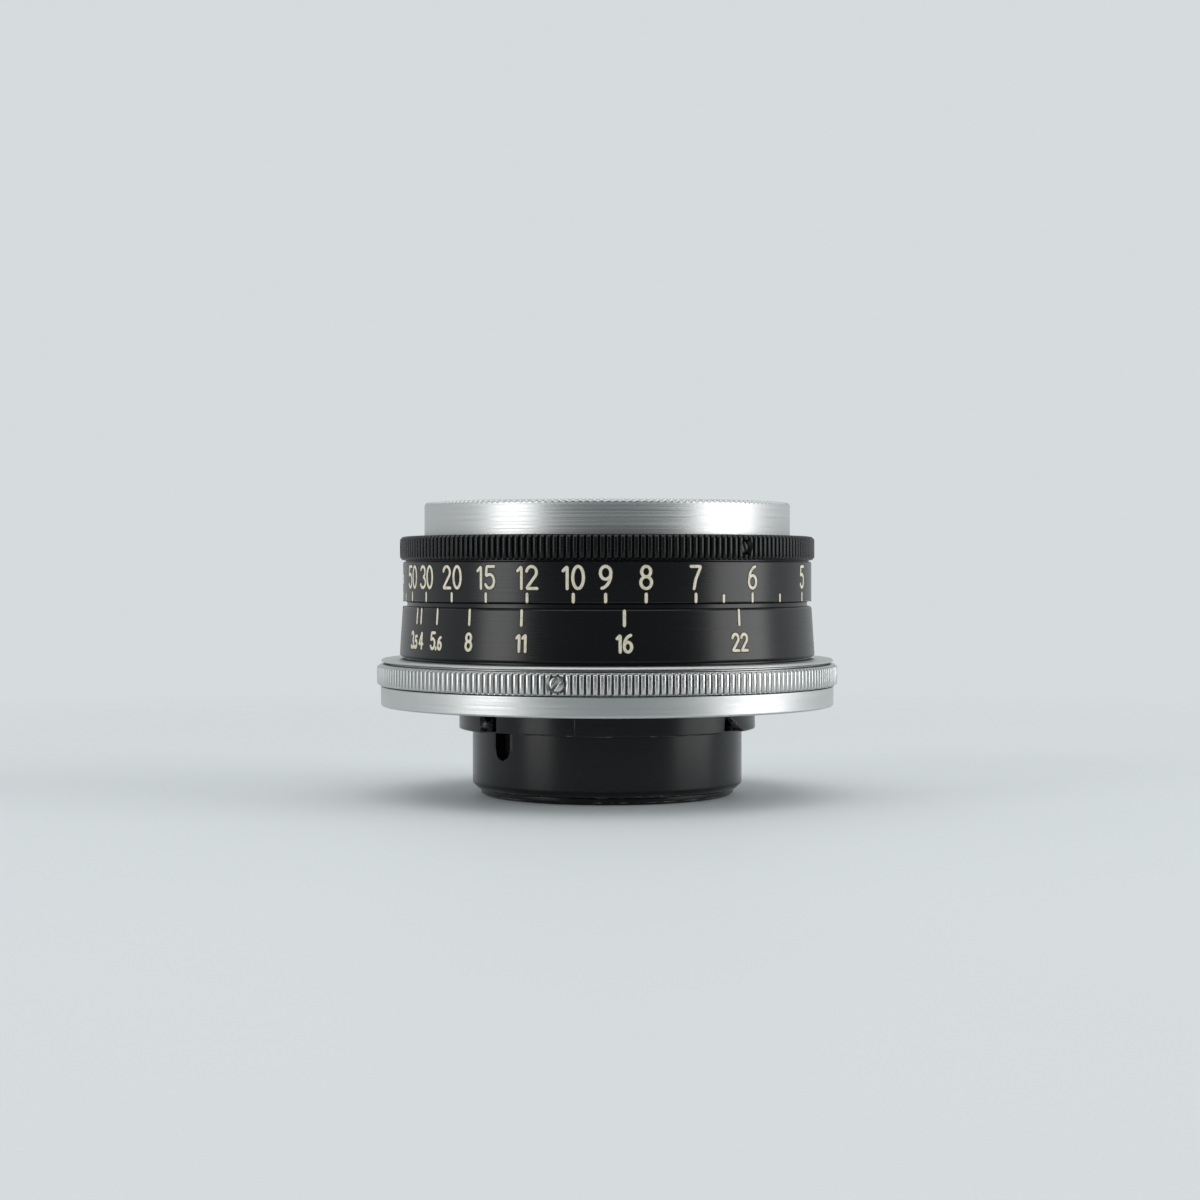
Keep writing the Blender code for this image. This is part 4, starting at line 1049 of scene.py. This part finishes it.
class LENS_OT_baffle(bpy.types.Operator):
    """Stepped black baffle inside the front, with the aperture index"""

    bl_idname = "lens.baffle"
    bl_label = "Front Baffle"

    def execute(self, context):
        """The cone's inside is a saw-tooth: radius grows with height, with a sharp step back at every ring."""
        high = extent("baffle_cone")[1]
        steps = 18
        level = np.linspace(21.02, high - 0.1, steps + 1)
        outer = 7.0 + (17.5 - 7.0) * (level - 21.02) / (high - 21.02)
        lows, highs = level[:-1], level[1:]
        starts, ends = np.stack([outer[:-1] + 0.05, lows], -1), np.stack([outer[:-1] + 0.1, highs - 0.08], -1)
        saw = np.stack([starts, ends], 1).reshape(-1, 2)
        back = [(17.6, high - 0.1), (17.75, high), (19.3, high), (19.4, high - 0.1), (19.4, 31.5), (18.2, 31.5)]
        back += [(7.8, 20.9), (7.8, 15.95), (7.0, 15.95)]
        profile = np.concatenate([saw, back])
        theta = np.linspace(0.0, 360.0, COLUMNS, endpoint=False)
        shell = grid_shell(spin(theta[None, :], profile[:, :1], profile[:, 1:]))
        cone = piece("baffle_stepped", [shell], FINISH["matt_black"], "lens_head", ["baffle_cone"])
        cone.data.shade_flat()
        short = np.array([(0.0, -0.05), (0.0, 0.0), (0.0, 0.05)])
        dot = [([(short, False)], on_face(APERTURE_INDEX_DEG, 18.6, high))]
        piece("aperture_index", engraved(dot, 0.55, 0.03, 0.05), FINISH["red_paint"], "lens_head")
        return {"FINISHED"}


class LENS_OT_optics(bpy.types.Operator):
    """Coated glass elements and their retaining rings"""

    bl_idname = "lens.optics"
    bl_label = "Glass"

    def execute(self, context):
        """Each element is two spheres and a ground edge."""
        glass = FINISH["coated_glass"]
        elements = (
            ("front_element", 6.5, 18.1, 18.85, 40.0, 12.0),
            ("second_element", 5.2, 14.8, 17.0, 18.0, -18.0),
            ("rear_pair_hollow", 5.0, 6.36, 8.3, 14.0, -30.0),
            ("rear_pair_crown", 5.0, 5.685, 6.06, -15.0, 14.0),
        )
        for node, radius, low, high, low_curve, high_curve in elements:
            shell = lens_shell(radius, low, high, low_curve, high_curve)
            piece(node + "_polished", [shell], glass, body_of(node), [node])
        black = FINISH["black_anodised"]
        rings = (("front_retaining_ring", 5.7, 19.62, 20.12), ("rear_retaining_ring", 4.2, 4.63, 5.13))
        for node, inner, low, high in rings:
            outer = extent(node)[2]
            ring = [(inner + 0.25, low), (outer, low), (outer, high), (inner, high), (inner, high - 0.2)]
            piece(node + "_turned", [lathe(ring, 0.06, 128)], black, body_of(node), [node])
        return {"FINISHED"}


class LENS_OT_barrels(bpy.types.Operator):
    """Round inner barrels: the threaded nut, both cells and their locking rings"""

    bl_idname = "lens.barrels"
    bl_label = "Inner Barrels"

    def execute(self, context):
        """Each is its closed profile, corners eased, carried once round the axis."""
        low, high, radius = extent("focus_nut")
        nut = [(radius, high), (radius, high - 3.4), (22.1, high - 3.4), (22.1, 21.0), (21.4, 21.0), (21.4, 19.0)]
        nut += [(22.1, 19.0), (22.1, low), (20.9, low), (20.9, high - 1.2), (22.8, high - 1.2), (22.8, high)]
        self.turned("focus_nut", nut, "brass")
        low, high, radius = extent("unit_locking_ring")
        ring = [(radius, low), (radius, high), (11.9, high), (11.9, low)]
        self.turned("unit_locking_ring", ring, "matt_black")
        low, high, radius = extent("rear_cell")
        cell = [(radius, high), (radius, low), (5.3, low), (5.3, high - 0.4), (4.9, high - 0.4), (4.9, high)]
        self.turned("rear_cell", cell, "black_anodised")
        low, high, radius = extent("front_cell")
        cell = [(8.2, high), (8.2, low + 1.5), (radius, low + 1.5), (radius, low + 0.9), (9.0, low + 0.9), (9.0, low)]
        cell += [(4.7, low), (4.7, low + 0.4), (5.5, low + 0.4), (5.5, 17.8), (6.8, 17.8), (6.8, high)]
        self.turned("front_cell", cell, "black_anodised")
        low, high, radius = extent("second_retaining_ring")
        ring = [(radius, low), (radius, high), (4.4, high), (4.4, low)]
        self.turned("second_retaining_ring", ring, "matt_black")
        return {"FINISHED"}

    def turned(self, node, corners, slot):
        """One turned ring in place of one CAD node."""
        piece(node + "_turned", [lathe(corners, 0.08, 192)], FINISH[slot], body_of(node), [node])


class LENS_OT_stage(bpy.types.Operator):
    """Floor, soft lights, world and camera"""

    bl_idname = "lens.stage"
    bl_label = "Stage"

    def execute(self, context):
        """A pale disc that fades into the world, two tall softboxes and a camera a little above the middle."""
        stage, scene = context.scene.lens_stage, context.scene
        self.floor(context.scene.lens_colours)
        self.world(scene)
        self.softbox("softbox_left", -59.0, 0.62, 0.27, 0.55, stage.left_power)
        self.softbox("softbox_right", 77.0, 0.62, 0.43, 0.55, stage.right_power)
        self.softbox("ceiling_light", 0.0, 0.05, 0.9, 0.9, 2.4, height=0.8)
        data = bpy.data.cameras.new("camera")
        data.lens, data.sensor_width = stage.focal, 36.0
        data.clip_start, data.clip_end = 0.01, 20.0
        camera = bpy.data.objects.new("camera", data)
        camera.location = (0.0, -stage.distance, stage.height)
        camera.rotation_euler = (math.radians(90.0 - stage.pitch_deg), 0.0, math.radians(stage.yaw_deg))
        scene.collection.objects.link(camera)
        scene.camera = camera
        scene.view_settings.view_transform = "Standard"
        return {"FINISHED"}

    def floor(self, colours):
        """A flat disc whose alpha falls from one near the lens to nothing at its rim."""
        theta = np.linspace(0.0, 2 * math.pi, 97)[:-1]
        ring = np.stack([np.cos(theta), np.sin(theta), 0 * theta], -1) * 4.0
        mesh = bpy.data.meshes.new("floor")
        mesh.from_pydata(ring.tolist(), [], [list(range(len(ring)))])
        obj = bpy.data.objects.new("floor", mesh)
        bpy.context.scene.collection.objects.link(obj)
        material, tree, shader = new_material("pale_paper_floor")
        place = add(tree, "ShaderNodeTexCoord")["Object"]
        reach = add(tree, "ShaderNodeVectorMath", {0: place}, operation="LENGTH")["Value"]
        pale = list(colours.floor)
        sources = {
            "Base Color": blend(tree, grain(tree, 60.0, 2.0), pale, scaled(pale, 0.97)),
            "Alpha": spread(tree, reach, 1.0, 0.0, 0.05, 0.24),
            "Roughness": 0.6,
            "Specular IOR Level": 0.3,
        }
        fill(tree, shader, sources)
        mesh.materials.append(material)

    def world(self, scene):
        """An even pale world to the eye; for reflections it is darker towards the camera's side and pale elsewhere."""
        world = bpy.data.worlds.new("studio")
        scene.world = world
        world.use_nodes = True
        tree = world.node_tree
        way = add(tree, "ShaderNodeTexCoord")["Generated"]
        behind = add(tree, "ShaderNodeSeparateXYZ", {"Vector": way})["Y"]
        front = spread(tree, behind, 1.0, 0.0, -0.55, 0.1)
        tone = blend(tree, front, linear("#C9CED0"), linear("#626A6D"))
        seen = add(tree, "ShaderNodeLightPath")["Is Camera Ray"]
        final = blend(tree, seen, tone, linear("#D6DBDD"))
        fill(tree, tree.nodes["Background"], {"Color": final, "Strength": 1.0})

    def softbox(self, name, angle, distance, width, height_size, power, height=None):
        """A rectangle of light at an angle about the axis, aimed at the lens."""
        data = bpy.data.lights.new(name, "AREA")
        data.shape, data.size, data.size_y, data.energy = "RECTANGLE", width, height_size, power
        light = bpy.data.objects.new(name, data)
        turn = math.radians(angle)
        light.location = (distance * math.sin(turn), -distance * math.cos(turn), 0.12 if height is None else height)
        aim = Vector((0.0, 0.0, 0.018)) - light.location
        light.rotation_euler = aim.to_track_quat("-Z", "Y").to_euler()
        bpy.context.scene.collection.objects.link(light)


class LENS_PT_panel(bpy.types.Panel):
    """Lists the settings and the pieces"""

    bl_idname = "LENS_PT_panel"
    bl_label = "Lens"
    bl_space_type = "VIEW_3D"
    bl_region_type = "UI"
    bl_category = "Lens"

    def draw(self, context):
        """One block for each settings group, then one button for each operator."""
        for group in GROUPS:
            box = self.layout.box()
            settings = getattr(context.scene, group)
            for name in settings.__annotations__:
                box.prop(settings, name)
        for operator in OPERATORS:
            self.layout.operator(operator.bl_idname)


GROUPS = {"lens_knurls": LensKnurls, "lens_scales": LensScales, "lens_colours": LensColours, "lens_stage": LensStage}
OPERATORS = (
    LENS_OT_finishes,
    LENS_OT_rear,
    LENS_OT_mount_rings,
    LENS_OT_depth_ring,
    LENS_OT_distance_ring,
    LENS_OT_focus_grip,
    LENS_OT_front_ring,
    LENS_OT_baffle,
    LENS_OT_optics,
    LENS_OT_barrels,
    LENS_OT_stage,
)


def register():
    """Registers every class and hangs the settings on the scene."""
    for cls in (*GROUPS.values(), *OPERATORS, LENS_PT_panel):
        bpy.utils.register_class(cls)
    for name, cls in GROUPS.items():
        setattr(bpy.types.Scene, name, PointerProperty(type=cls))


def unregister():
    """Takes away what register added."""
    for name in GROUPS:
        delattr(bpy.types.Scene, name)
    for cls in (LENS_PT_panel, *reversed(OPERATORS), *GROUPS.values()):
        bpy.utils.unregister_class(cls)


def main():
    """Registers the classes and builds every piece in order."""
    register()
    for operator in OPERATORS:
        group, name = operator.bl_idname.split(".")
        getattr(getattr(bpy.ops, group), name)()


if __name__ == "__main__":
    main()
